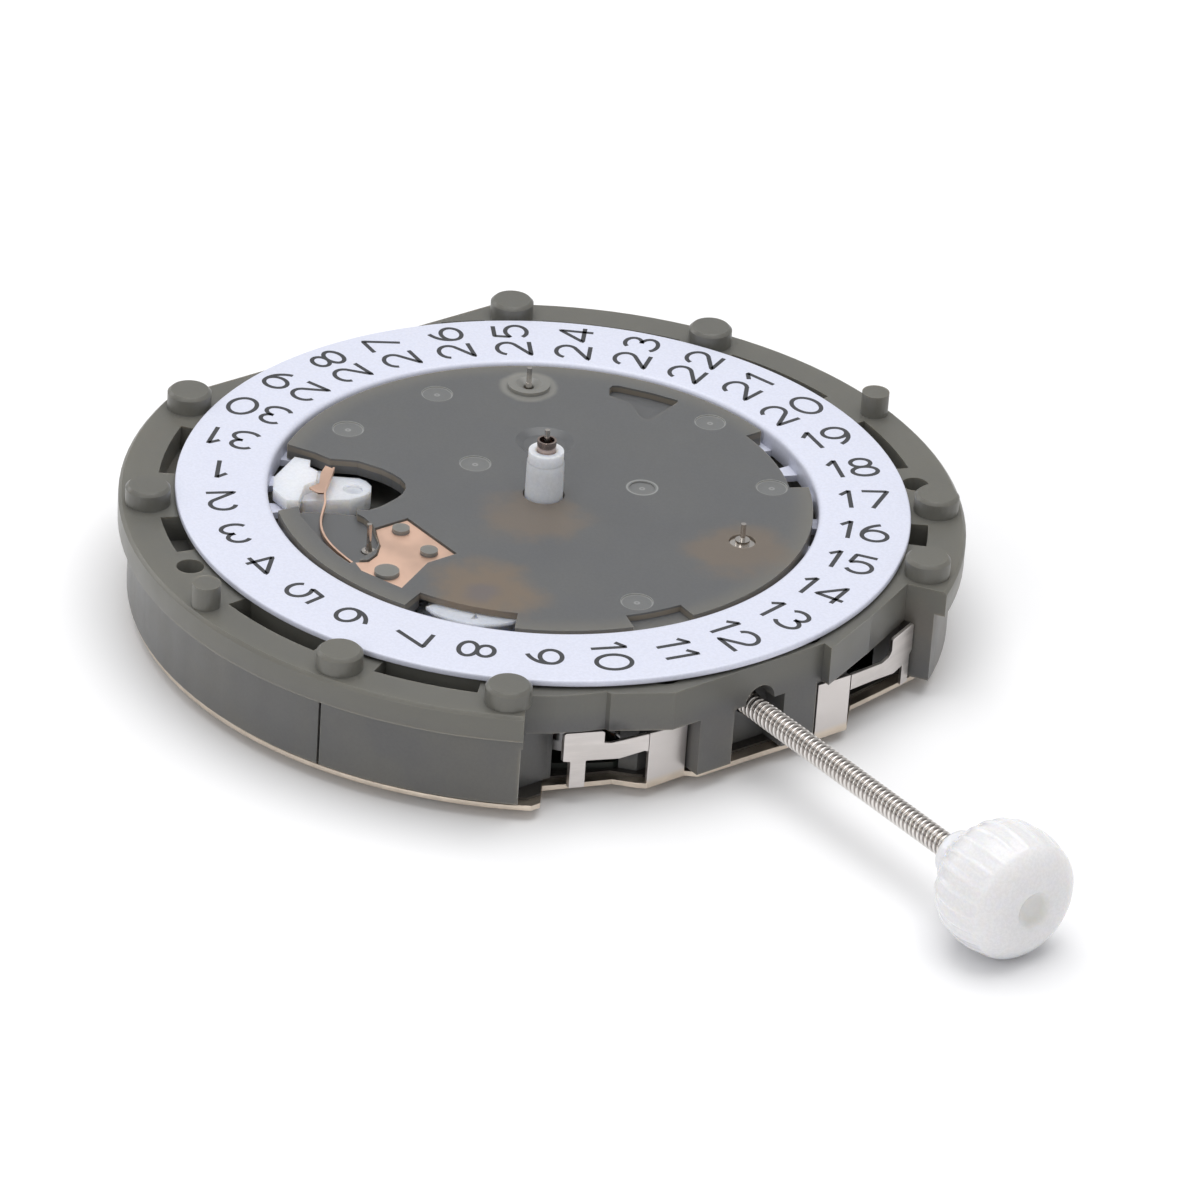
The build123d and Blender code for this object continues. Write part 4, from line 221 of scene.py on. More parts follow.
def ribbon(line, width, top, bottom, closed):
    """Flat stroke along a line in the plane: the line is moved half a width to each side along
    its normal, and the four corners of the section are carried along it."""
    line = np.asarray(line, float)
    if closed:
        tangent = np.roll(line, -1, axis=0) - np.roll(line, 1, axis=0)
    else:
        tangent = np.gradient(line, axis=0)
    tangent /= np.linalg.norm(tangent, axis=1, keepdims=True)
    side = np.stack([-tangent[:, 1], tangent[:, 0]], 1) * width / 2
    low = np.full((len(line), 1), bottom)
    high = np.full((len(line), 1), top)
    return np.stack([np.hstack([line + side, high]), np.hstack([line + side, low]),
                     np.hstack([line - side, low]), np.hstack([line - side, high])], 1)


class Shell:
    """Collects grids of points into one mesh."""

    def __init__(self):
        self.points = []
        self.faces = []
        self.count = 0

    def add(self, grid, close_rows=False, close_columns=False, end_caps=False):
        """Takes in one grid of points, with its faces and, if asked for, a face on each end."""
        rows, columns = grid.shape[:2]
        faces = grid_faces(rows, columns, close_rows, close_columns) + self.count
        self.faces += faces.tolist()
        if end_caps:
            self.faces.append(list(range(self.count, self.count + columns)))
            last = self.count + (rows - 1) * columns
            self.faces.append(list(range(last, last + columns)))
        self.points.append(grid.reshape(-1, 3))
        self.count += rows * columns
        return self

    def piece(self, name, material, body, slot, replaced=(), smooth_angle=35):
        """One object at the origin, with doubles merged and its faces pointing outwards."""
        mesh = bpy.data.meshes.new(name)
        mesh.from_pydata((np.vstack(self.points) * MM).tolist(), [], self.faces)
        work = bmesh.new()
        work.from_mesh(mesh)
        bmesh.ops.remove_doubles(work, verts=work.verts, dist=1e-7)
        bmesh.ops.recalc_face_normals(work, faces=work.faces)
        work.to_mesh(mesh)
        work.free()
        mesh.shade_smooth()
        mesh.set_sharp_from_angle(angle=np.radians(smooth_angle))
        mesh.materials.append(material)
        thing = bpy.data.objects.new(name, mesh)
        bpy.context.scene.collection.objects.link(thing)
        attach(thing, body)
        if replaced:
            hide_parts(*replaced)


# Shader nodes

def new_group(name, inputs, outputs):
    """Empty shader group with its named sockets, and the nodes that lead in and out."""
    group = bpy.data.node_groups.new(name, "ShaderNodeTree")
    for label, kind, value in inputs:
        socket = group.interface.new_socket(label, in_out="INPUT", socket_type=kind)
        socket.default_value = value
    for label, kind in outputs:
        group.interface.new_socket(label, in_out="OUTPUT", socket_type=kind)
    return group, group.nodes.new("NodeGroupInput"), group.nodes.new("NodeGroupOutput")


def here(group):
    """Place of the shaded point on its object."""
    return group.nodes.new("ShaderNodeTexCoord").outputs["Object"]


def noise(group, coordinates, scale, detail, roughness=0.55):
    """Noise on the given coordinates, its scale, per metre, a number or a socket."""
    node = group.nodes.new("ShaderNodeTexNoise")
    node.inputs["Detail"].default_value = detail
    node.inputs["Roughness"].default_value = roughness
    group.links.new(coordinates, node.inputs["Vector"])
    if isinstance(scale, float):
        node.inputs["Scale"].default_value = scale
    else:
        group.links.new(scale, node.inputs["Scale"])
    return node.outputs["Fac"]


def calculate(group, operation, *values):
    """One Math node on sockets or numbers."""
    node = group.nodes.new("ShaderNodeMath")
    node.operation = operation
    for socket, value in zip(node.inputs, values):
        if isinstance(value, float):
            socket.default_value = value
        else:
            group.links.new(value, socket)
    return node.outputs[0]


def on_vectors(group, operation, first, second, output="Vector", other=1):
    """One Vector Math node on two sockets, the second led to the input of the given name."""
    node = group.nodes.new("ShaderNodeVectorMath")
    node.operation = operation
    group.links.new(first, node.inputs[0])
    group.links.new(second, node.inputs[other])
    return node.outputs[output]


def blended(group, share, first, second):
    """One colour mix on sockets or colours."""
    node = group.nodes.new("ShaderNodeMix")
    node.data_type = "RGBA"
    for socket, value in ((node.inputs[0], share), (node.inputs[6], first),
                          (node.inputs[7], second)):
        if isinstance(value, tuple):
            socket.default_value = value
        else:
            group.links.new(value, socket)
    return node.outputs[2]


def eased(group, value, start, stop, low, high):
    """Leads a value that goes from start to stop smoothly over to low to high."""
    node = group.nodes.new("ShaderNodeMapRange")
    node.interpolation_type = "SMOOTHSTEP"
    for label, number in (("From Min", start), ("From Max", stop), ("To Min", low),
                          ("To Max", high)):
        if isinstance(number, float):
            node.inputs[label].default_value = number
        else:
            group.links.new(number, node.inputs[label])
    group.links.new(value, node.inputs["Value"])
    return node.outputs[0]


def spread(group, fac, low, high):
    """Spreads a noise, which lies mostly between 0.35 and 0.65, over the given range."""
    return eased(group, fac, 0.35, 0.65, low, high)


# Shared shader groups

def moulded_skin():
    """Moulded plastic: a cloudy shade and a fine grain."""
    group, start, end = new_group(
        "Moulded skin",
        [("Colour", "NodeSocketColor", (0.5, 0.5, 0.5, 1)),
         ("Cloud colour", "NodeSocketColor", (0.5, 0.5, 0.5, 1)),
         ("Cloud share", "NodeSocketFloat", 0.3),
         ("Cloud scale", "NodeSocketFloat", 300.0),
         ("Grain scale", "NodeSocketFloat", 9000.0),
         ("Roughness", "NodeSocketFloat", 0.4)],
        [("Colour", "NodeSocketColor"), ("Roughness", "NodeSocketFloat"),
         ("Height", "NodeSocketFloat")])
    place = here(group)
    cloud = noise(group, place, start.outputs["Cloud scale"], 3.0)
    grain = noise(group, place, start.outputs["Grain scale"], 2.0, 0.7)
    cloudiness = calculate(group, "MULTIPLY", spread(group, cloud, 0.0, 1.0),
                           start.outputs["Cloud share"])
    shade = blended(group, cloudiness, start.outputs["Colour"], start.outputs["Cloud colour"])
    speck = spread(group, grain, 0.97, 1.03)
    tone = on_vectors(group, "SCALE", shade, speck, other="Scale")
    sheen = calculate(group, "ADD", spread(group, cloud, -0.04, 0.04), start.outputs["Roughness"])
    group.links.new(tone, end.inputs["Colour"])
    group.links.new(sheen, end.inputs["Roughness"])
    group.links.new(grain, end.inputs["Height"])


def metal_skin():
    """Rolled or turned metal: fine lines along one direction, and a little tarnish."""
    group, start, end = new_group(
        "Metal skin",
        [("Colour", "NodeSocketColor", (0.7, 0.7, 0.7, 1)),
         ("Tarnish", "NodeSocketColor", (0.4, 0.35, 0.3, 1)),
         ("Tarnish share", "NodeSocketFloat", 0.15),
         ("Line stretch", "NodeSocketVector", (300.0, 12000.0, 12000.0)),
         ("Roughness", "NodeSocketFloat", 0.25)],
        [("Colour", "NodeSocketColor"), ("Roughness", "NodeSocketFloat"),
         ("Height", "NodeSocketFloat")])
    place = here(group)
    stretched = on_vectors(group, "MULTIPLY", place, start.outputs["Line stretch"])
    lines = noise(group, stretched, 1.0, 3.0, 0.6)
    blotch = noise(group, place, 900.0, 4.0)
    share = calculate(group, "MULTIPLY", spread(group, blotch, 0.0, 1.0),
                      start.outputs["Tarnish share"])
    shade = blended(group, share, start.outputs["Colour"], start.outputs["Tarnish"])
    line_tone = spread(group, lines, 0.94, 1.06)
    tone = on_vectors(group, "SCALE", shade, line_tone, other="Scale")
    sheen = calculate(group, "ADD", spread(group, lines, -0.04, 0.04), start.outputs["Roughness"])
    group.links.new(tone, end.inputs["Colour"])
    group.links.new(sheen, end.inputs["Roughness"])
    group.links.new(lines, end.inputs["Height"])


def round_patch():
    """Mask that is 1 inside a reach round a place and fades out beyond it, with a wavy edge."""
    group, start, end = new_group(
        "Round patch",
        [("Place", "NodeSocketVector", (0.0, 0.0, 0.0)),
         ("Reach", "NodeSocketFloat", 0.001),
         ("Fade", "NodeSocketFloat", 0.001)],
        [("Mask", "NodeSocketFloat")])
    place = here(group)
    away = on_vectors(group, "DISTANCE", place, start.outputs["Place"], "Value")
    wave = spread(group, noise(group, place, 700.0, 3.0), -0.22, 0.22)
    wavy = calculate(group, "MULTIPLY_ADD", wave, start.outputs["Fade"], away)
    beyond = calculate(group, "SUBTRACT", wavy, start.outputs["Reach"])
    faded = calculate(group, "DIVIDE", beyond, start.outputs["Fade"])
    group.links.new(eased(group, faded, 0.0, 1.0, 1.0, 0.0), end.inputs["Mask"])


def ring_mark():
    """Mask of an ejector pin's mark: a faint disc with a thin circle round it and a tiny one
    inside. The pale disc and circle are partly a painted highlight on the mark's edge."""
    group, start, end = new_group(
        "Ring mark",
        [("Place", "NodeSocketVector", (0.0, 0.0, 0.0)),
         ("Radius", "NodeSocketFloat", 0.0005),
         ("Line", "NodeSocketFloat", 0.00005)],
        [("Mask", "NodeSocketFloat")])
    large = start.outputs["Radius"]
    small = calculate(group, "MULTIPLY", large, 0.17)
    away = on_vectors(group, "DISTANCE", here(group), start.outputs["Place"], "Value")
    circles = []
    for radius in (large, small):
        off = calculate(group, "ABSOLUTE", calculate(group, "SUBTRACT", away, radius))
        share = calculate(group, "DIVIDE", off, start.outputs["Line"])
        circles.append(eased(group, share, 0.4, 1.0, 1.0, 0.0))
    disc = eased(group, calculate(group, "DIVIDE", away, large), 0.90, 1.05, 0.30, 0.0)
    both = calculate(group, "MAXIMUM", *circles)
    group.links.new(calculate(group, "MAXIMUM", both, disc), end.inputs["Mask"])


def band():
    """Mask that rises from 0 to 1 between two distances from a centre. Flatten is 1 for each
    axis that counts, so 1, 1, 0 measures from an upright axis and 0, 0, 1 measures height."""
    group, start, end = new_group(
        "Band",
        [("Centre", "NodeSocketVector", (0.0, 0.0, 0.0)),
         ("Flatten", "NodeSocketVector", (1.0, 1.0, 0.0)),
         ("Start", "NodeSocketFloat", 0.0),
         ("Stop", "NodeSocketFloat", 0.001)],
        [("Mask", "NodeSocketFloat")])
    offset = on_vectors(group, "SUBTRACT", here(group), start.outputs["Centre"])
    flat = on_vectors(group, "MULTIPLY", offset, start.outputs["Flatten"])
    reach = group.nodes.new("ShaderNodeVectorMath")
    reach.operation = "LENGTH"
    group.links.new(flat, reach.inputs[0])
    mask = eased(group, reach.outputs["Value"], start.outputs["Start"], start.outputs["Stop"],
                 0.0, 1.0)
    group.links.new(mask, end.inputs["Mask"])


# Finishes and their layers of other tints

def four(colour):
    """Colour with full opacity."""
    return (*colour, 1.0)


def finish(slot):
    """Finish that was made here for a material slot of the record."""
    return bpy.data.materials[slot + "_finish"]


def patch(place, reach, fade, share, colour):
    """Layer of another tint in a soft round patch, its sizes in mm."""
    return ("Round patch", {"Place": [value * MM for value in place], "Reach": reach * MM,
                            "Fade": fade * MM}, share, colour)


def mark(place, radius, share, colour):
    """Layer of another tint in the disc and circles of an ejector mark, partly a painted highlight
    on its edge, its sizes in mm.
    """
    line = 0.05
    return ("Ring mark", {"Place": [value * MM for value in place], "Radius": radius * MM,
                          "Line": line * MM}, share, colour)


def between(flatten, start, stop, share, colour, centre=(0.0, 0.0, 0.0)):
    """Layer of another tint that rises between two distances, in mm."""
    return ("Band", {"Centre": [value * MM for value in centre], "Flatten": flatten,
                     "Start": start * MM, "Stop": stop * MM}, share, colour)


def layered(tree, tint, layers):
    """Lays tints over a colour, each where its mask is."""
    for kind, values, share, colour in layers:
        node = tree.nodes.new("ShaderNodeGroup")
        node.node_tree = bpy.data.node_groups[kind]
        for label, value in values.items():
            node.inputs[label].default_value = value
        strength = calculate(tree, "MULTIPLY", node.outputs["Mask"], share)
        tint = blended(tree, strength, tint, four(colour))
    return tint


def skinned_material(name, group, values, depth, layers):
    """Material with one shared group that leads its colour under the layers, its roughness and
    its height to a Principled shader, which is returned."""
    material = bpy.data.materials.new(name + "_finish")
    material.use_nodes = True
    tree = material.node_tree
    shader = tree.nodes["Principled BSDF"]
    skin = tree.nodes.new("ShaderNodeGroup")
    skin.node_tree = bpy.data.node_groups[group]
    for label, value in values.items():
        skin.inputs[label].default_value = value
    bump = tree.nodes.new("ShaderNodeBump")
    bump.inputs["Strength"].default_value = 0.35
    bump.inputs["Distance"].default_value = depth * MM
    tree.links.new(layered(tree, skin.outputs["Colour"], layers), shader.inputs["Base Color"])
    tree.links.new(skin.outputs["Roughness"], shader.inputs["Roughness"])
    tree.links.new(skin.outputs["Height"], bump.inputs["Height"])
    tree.links.new(bump.outputs["Normal"], shader.inputs["Normal"])
    return shader


def plastic(name, colour, cloud, cloud_share, roughness, depth=0.004, glow=0.0, scatter=0.5,
            layers=()):
    """Moulded plastic. Glow is the share of the light that goes in and comes out again about
    scatter, in mm, further on."""
    shader = skinned_material(
        name, "Moulded skin",
        {"Colour": four(colour), "Cloud colour": four(cloud), "Cloud share": cloud_share,
         "Roughness": roughness}, depth, layers)
    shader.inputs["Subsurface Weight"].default_value = glow
    shader.inputs["Subsurface Scale"].default_value = scatter * MM
    shader.inputs["Subsurface Radius"].default_value = (1.0, 0.85, 0.65)


def metal(name, colour, tarnish, tarnish_share, roughness, stretch=(300.0, 12000.0, 12000.0),
          depth=0.0006, layers=()):
    """Bare or plated metal."""
    shader = skinned_material(
        name, "Metal skin",
        {"Colour": four(colour), "Tarnish": four(tarnish), "Tarnish share": tarnish_share,
         "Line stretch": stretch, "Roughness": roughness}, depth, layers)
    shader.inputs["Metallic"].default_value = 1.0


def main_plate_layers():
    """Tints of the main plate: painted light on the upper posts and on the rim, warm patches of
    painted light through the thin plastic, and painted shade in the pusher pockets.
    """
    # Warm patches of painted light through the thin plastic: place, reach, fade and share
    painted_light_patches = (((-11.5, -9.5, 1.5), 0.8, 2.2, 0.30), ((-13.5, -5.5, 1.0), 0.6, 2.0, 0.25),
              ((10.9, 9.2, 2.2), 0.7, 1.8, 0.30), ((12.6, -1.9, 1.6), 0.4, 1.2, 0.25))
    # Pusher pockets that get painted shade
    shaded_pockets = ((12.1, -5.6, 1.7), (12.1, 5.2, 1.7))
    # Painted light: paler towards the tops of the posts
    return (between(HEIGHT, 2.6, 3.6, 0.55, (0.150, 0.147, 0.124)),
            # Painted light at the outer rim
            between(FROM_CENTRE, 14.9, 15.5, 0.20, (0.175, 0.168, 0.140)),
            # Warm patches of painted light through the thin plastic
            *(patch(*blotch, PAINTED_WARM_LIGHT) for blotch in painted_light_patches),
            # Painted shade: near black in the pusher pockets
            *(patch(place, 0.9, 0.5, 0.85, (0.020, 0.020, 0.020)) for place in shaded_pockets))


def calendar_plate_layers(calendar):
    """Tints of the calendar plate: painted warm light on the walls above grey pocket floors, the
    grey dimple, the paler boss, painted highlights on the stakes, painted light on the rim, warm
    patches of painted light through the thin plate, one with painted shade over the hub of the
    wheel beneath, and the ejector marks, partly painted highlights, placed by shares of the
    radius."""
    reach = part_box("calendar_plate")[1].x / MM
    scale = reach - PLATE_LIP
    low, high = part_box("counter_arbor")
    boss = ((low.x + high.x) / 2 / MM, (low.y + high.y) / 2 / MM, PLATE_TOP + 0.10)
    # Stakes whose tops get a painted highlight: place and radius
    stakes = ((-0.49, -6.03, 0.30), (1.33, -6.08, 0.30), (1.78, -8.24, 0.42))
    stake_top = PLATE_TOP + 0.15
    # Ejector marks, their pale circles partly a painted highlight on each mark's edge
    marks = ((-0.796, -0.349), (-0.853, 0.111), (-0.325, -0.086), (-0.129, 0.893),
             (0.404, 0.782), (0.835, -0.183), (0.152, 0.353))
    mark_radius = 0.56
    # Painted warm light on the pocket walls, down to the grey floors
    return (between(HEIGHT, PLATE_TOP - 0.06, PLATE_TOP - 0.10, 0.75, (0.240, 0.205, 0.160)),
            between(HEIGHT, PLATE_TOP - 0.26, PLATE_TOP - 0.29, 1.00, calendar),
            patch((-3.18, 2.39, PLATE_TOP - 0.10), 1.15, 0.10, 1.00, calendar),
            patch(boss, 1.00, 0.25, 0.60, (0.260, 0.255, 0.232)),
            # Painted highlights on the tops of the stakes
            *(patch((x, y, stake_top), radius, 0.12, 0.60, (0.230, 0.225, 0.205))
              for x, y, radius in stakes),
            # Painted light on the rim
            between(FROM_CENTRE, 8.9, reach, 0.60, (0.165, 0.158, 0.138)),
            # Painted warm light through the thin plate over the date wheel, with painted shade
            # over its hub
            patch((4.6, -6.0, PLATE_TOP), 1.1, 1.5, 0.90, PAINTED_WARM_LIGHT),
            patch((4.7, -6.1, PLATE_TOP), 0.2, 0.7, 0.75, (0.130, 0.115, 0.118)),
            # More warm patches of painted light through the thin plate
            patch((7.0, 3.6, PLATE_TOP), 1.0, 1.4, 0.65, PAINTED_WARM_LIGHT),
            patch((1.2, -1.3, PLATE_TOP), 0.9, 1.5, 0.60, PAINTED_WARM_LIGHT),
            # Ejector marks with partly painted highlights on their edges
            *(mark((x * scale, y * scale, PLATE_TOP), mark_radius, 0.90, (0.275, 0.280, 0.275))
              for x, y in marks))


# Strokes of the numerals, in a box one unit high

def arc(x, y, across, up, start, stop, steps=28):
    """Points of an ellipse round x, y from one angle to another, in degrees."""
    angle = np.radians(np.linspace(start, stop, steps))
    return np.stack([x + across * np.cos(angle), y + up * np.sin(angle)], 1)


def stroke(*corners):
    """Straight strokes through the corners, each side divided, so that bends stay crisp."""
    corners = np.array(corners, float)
    share = np.array([0, 0.04, 0.5, 0.96])
    sides = corners[:-1, None] + (corners[1:] - corners[:-1])[:, None] * share[None, :, None]
    return np.vstack([sides.reshape(-1, 2), corners[-1:]])


def numeral_strokes(digit):
    """Lines of one digit and whether each is closed, with its half width."""
    shapes = {
        0: ([(arc(0, 0.5, 0.40, 0.5, 0, 352, 40), True)], 0.40),
        1: ([(stroke((0.10, 0.0), (0.10, 1.0), (-0.17, 0.74)), False)], 0.17),
        2: ([(np.vstack([arc(0.0, 0.68, 0.37, 0.32, 170, -28),
                         stroke((0.27, 0.46), (-0.40, 0.0), (0.42, 0.0))]), False)], 0.40),
        3: ([(np.vstack([arc(0.0, 0.75, 0.32, 0.25, 150, -78),
                         arc(0.0, 0.265, 0.38, 0.265, 82, -155)]), False)], 0.38),
        4: ([(stroke((0.44, 0.27), (-0.42, 0.27), (0.20, 1.0), (0.20, 0.0)), False)], 0.42),
        5: ([(np.vstack([stroke((0.34, 1.0), (-0.28, 1.0), (-0.34, 0.53)),
                         arc(-0.01, 0.325, 0.38, 0.325, 130, -150)]), False)], 0.38),
        6: ([(arc(0.0, 0.31, 0.37, 0.31, 0, 352, 36), True),
             (arc(0.40, 0.36, 0.77, 0.66, 184, 112), False)], 0.38),
        7: ([(stroke((-0.37, 1.0), (0.38, 1.0), (-0.12, 0.0)), False)], 0.38),
        8: ([(arc(0.0, 0.76, 0.30, 0.24, 0, 352, 32), True),
             (arc(0.0, 0.26, 0.38, 0.26, 0, 352, 34), True)], 0.38),
        9: ([(arc(0.0, 0.69, 0.37, 0.31, 0, 352, 36), True),
             (arc(-0.40, 0.64, 0.77, 0.66, 4, -68), False)], 0.38)}
    return shapes[digit]


# Operators, one for each piece or group of like pieces

class MOVEMENT_OT_finishes(bpy.types.Operator):
    """Make the shared groups and every finish"""

    bl_idname = "movement.finishes"
    bl_label = "Make the finishes"

    def execute(self, context):
        colours = context.scene.movement_colours
        for make in (moulded_skin, metal_skin, round_patch, ring_mark, band):
            make()
        calendar = tuple(colours.calendar)
        crown_face = (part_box("crown")[1].x / MM, 0.0, STEM_HEIGHT)
        stem_axis = (0.0, 0.0, STEM_HEIGHT)

        plastic("plate_plastic", tuple(colours.plate), cloud=(0.150, 0.142, 0.118),
                cloud_share=0.35, roughness=0.37, depth=0.003, glow=0.35,
                layers=main_plate_layers())
        plastic("calendar_plastic", calendar, cloud=(0.116, 0.118, 0.114),
                cloud_share=0.30, roughness=0.37, depth=0.002, glow=0.35,
                layers=calendar_plate_layers(calendar))
        plastic("ring_plastic", tuple(colours.ring), cloud=(0.64, 0.66, 0.77),
                cloud_share=0.3, roughness=0.36, depth=0.0004, glow=0.05)
        plastic("white_plastic", (0.80, 0.80, 0.82), cloud=(0.75, 0.75, 0.78),
                cloud_share=0.4, roughness=0.34, depth=0.0006, glow=0.8, scatter=1.5)
        # The crown's face gets painted shade in its dimple
        plastic("crown_plastic", tuple(colours.crown), cloud=(0.72, 0.72, 0.735),
                cloud_share=0.3, roughness=0.22, depth=0.0002, glow=1.0, scatter=1.6,
                layers=(patch(crown_face, 0.50, 0.45, 0.6, (0.70, 0.695, 0.66)),))
        plastic("numeral_ink", tuple(colours.ink), cloud=(0.05, 0.05, 0.055),
                cloud_share=0.4, roughness=0.45, depth=0.001)
        for name, colour, cloud, roughness in (
                ("black_plastic", (0.018, 0.018, 0.020), (0.03, 0.03, 0.03), 0.5),
                ("board", (0.010, 0.014, 0.011), (0.014, 0.020, 0.015), 0.4),
                ("film", (0.030, 0.027, 0.024), (0.05, 0.045, 0.04), 0.35)):
            plastic(name, colour, cloud, cloud_share=0.4, roughness=roughness)

        metal("steel", (0.66, 0.63, 0.60), tarnish=(0.45, 0.41, 0.37), tarnish_share=0.15,
              roughness=0.20, stretch=FINE_LINES)
        # Painted shade in the thread's grooves: darker nearer the stem's axis
        metal("thread_steel", (0.78, 0.75, 0.72), tarnish=(0.50, 0.45, 0.41),
              tarnish_share=0.12, roughness=0.17, stretch=(9000.0, 400.0, 400.0), depth=0.0003,
              layers=(between(FROM_STEM, 0.43, 0.37, 0.80, (0.17, 0.14, 0.125), stem_axis),))
        metal("dark_steel", (0.44, 0.36, 0.33), tarnish=(0.20, 0.16, 0.15), tarnish_share=0.3,
              roughness=0.20, stretch=FINE_LINES)
        metal("nickel", NICKEL, tarnish=(0.54, 0.50, 0.47), tarnish_share=0.25,
              roughness=0.38, stretch=FINE_LINES, depth=0.0003)
        # The cover's two upright tabs are as pale as the pusher springs beside them
        metal("cover_sheet", (0.72, 0.63, 0.53), tarnish=(0.52, 0.43, 0.34), tarnish_share=0.3,
              roughness=0.36, stretch=(2500.0, 500.0, 2500.0),
              layers=(between(HEIGHT, 0.15, 0.45, 1.0, NICKEL),))
        metal("copper", tuple(colours.copper), tarnish=(0.76, 0.53, 0.42), tarnish_share=0.20,
              roughness=0.44, stretch=FINE_LINES, depth=0.0003)
        for name, colour, tarnish, share, roughness in (
                ("brass", (0.72, 0.52, 0.22), (0.45, 0.30, 0.12), 0.3, 0.28),
                ("winding", (0.55, 0.22, 0.09), (0.30, 0.11, 0.05), 0.4, 0.35),
                ("iron", (0.32, 0.32, 0.33), (0.18, 0.17, 0.16), 0.4, 0.42),
                ("magnet", (0.13, 0.13, 0.14), (0.08, 0.08, 0.08), 0.4, 0.40),
                ("battery_can", (0.62, 0.62, 0.62), (0.42, 0.41, 0.38), 0.3, 0.22)):
            metal(name, colour, tarnish, share, roughness)
        return {"FINISHED"}


class MOVEMENT_OT_dress_nodes(bpy.types.Operator):
    """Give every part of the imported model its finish, and soften the edges that show"""

    bl_idname = "movement.dress_nodes"
    bl_label = "Dress the packed parts"

    def execute(self, context):
        slots = {row["node"]: row["material_slot"] for row in frame["record"]["subparts"]}
        special = {"minute_pipe": "dark_steel"}
        for name, thing in frame["nodes"].items():
            material = finish(special.get(name, slots[name]))
            thing.data.materials.clear()
            thing.data.materials.append(material)
        soft_edges = {"main_plate": 0.09, "calendar_plate": 0.05, "date_jumper": 0.05,
                      "hour_wheel": 0.05, "back_cover": 0.03, "pusher_spring_low": 0.03,
                      "pusher_spring_high": 0.03, "jumper_spring": 0.015}
        for name, width in soft_edges.items():
            thing = frame["nodes"][name]
            weld = thing.modifiers.new("Weld", "WELD")
            weld.merge_threshold = 0.001 * MM
            bevel = thing.modifiers.new("Soft edge", "BEVEL")
            bevel.width = width * MM
            bevel.segments = 3
            bevel.limit_method = "ANGLE"
            bevel.angle_limit = np.radians(40)
            bevel.harden_normals = True
            bevel.use_clamp_overlap = True
        return {"FINISHED"}


class MOVEMENT_OT_date_ring(bpy.types.Operator):
    """Date ring with rounded edges, inner teeth and printed numerals"""

    bl_idname = "movement.date_ring"
    bl_label = "Make the date ring"

    def execute(self, context):
        self.make_ring()
        self.print_numerals(context.scene.movement_sizes)
        return {"FINISHED"}

    def make_ring(self):
        """A flat top, a deeper wall at its inner edge, and a tooth for each day at its foot."""
        inner = 10.07
        wall = inner + 0.63
        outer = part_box("date_ring")[1].x / MM
        underside = RING_TOP - 0.25
        foot = RING_TOP - 0.97
        corner_sizes = np.array([[0.24], [0.07], [0.07], [0.07], [0.07], [0.09]])
        section = rounded([(inner, RING_TOP), (inner, foot), (wall, foot), (wall, underside),
                           (outer, underside), (outer, RING_TOP)], corner_sizes, 6)
        ring = Shell().add(turned(section, 256), True, True)
        tip = 9.25
        tip_half = 0.225
        root = inner + 0.1
        root_half = 0.40
        tooth_low = foot + 0.001
        tooth_high = foot + 0.26
        tooth = rounded([(root, -root_half), (tip, -tip_half), (tip, tip_half),
                         (root, root_half)], 0.08, 3)
        pitch = 2 * np.pi / DAYS
        first_gap = np.radians(221.5)
        for angle in first_gap + pitch / 2 + np.arange(DAYS) * pitch:
            turn = np.array([[np.cos(angle), np.sin(angle)], [-np.sin(angle), np.cos(angle)]])
            flat = tooth @ turn
            layers = np.stack([np.column_stack([flat, np.full(len(flat), height)])
                               for height in (tooth_low, tooth_high)])
            ring.add(layers, False, True, True)
        ring.piece("date_ring_body", finish("ring_plastic"), "date_ring", "ring_plastic",
                   ("date_ring",))

    def print_numerals(self, sizes):
        """Numerals that read from the centre outwards, with their tops turned anticlockwise.
        Strokes that cross in a digit lie at slightly different heights."""
        ink = Shell()
        height = sizes.numeral_height - sizes.numeral_stroke
        gap = 0.17 * height
        sunk = RING_TOP - 0.004
        for day in range(1, DAYS + 1):
            angle = np.radians(sizes.first_angle + (day - 1) * 360 / DAYS)
            outward = np.array([np.cos(angle), np.sin(angle)])
            upward = np.array([-np.sin(angle), np.cos(angle)])
            digits = [int(letter) for letter in str(day)]
            halves = [numeral_strokes(digit)[1] * height for digit in digits]
            spans = [2 * half + sizes.numeral_stroke for half in halves]
            total = sum(spans) + gap * (len(digits) - 1)
            along = -total / 2
            for digit, span in zip(digits, spans):
                centre = sizes.numeral_circle + along + span / 2
                along += span + gap
                for layer, (line, closed) in enumerate(numeral_strokes(digit)[0]):
                    flat = (np.outer(centre + line[:, 0] * height, outward)
                            + np.outer((line[:, 1] - 0.5) * height, upward))
                    raised = RING_TOP + 0.003 + 0.002 * layer
                    grid = ribbon(flat, sizes.numeral_stroke, raised, sunk, closed)
                    ink.add(grid, closed, True, not closed)
        ink.piece("date_numerals", finish("numeral_ink"), "date_ring", "black_plastic")


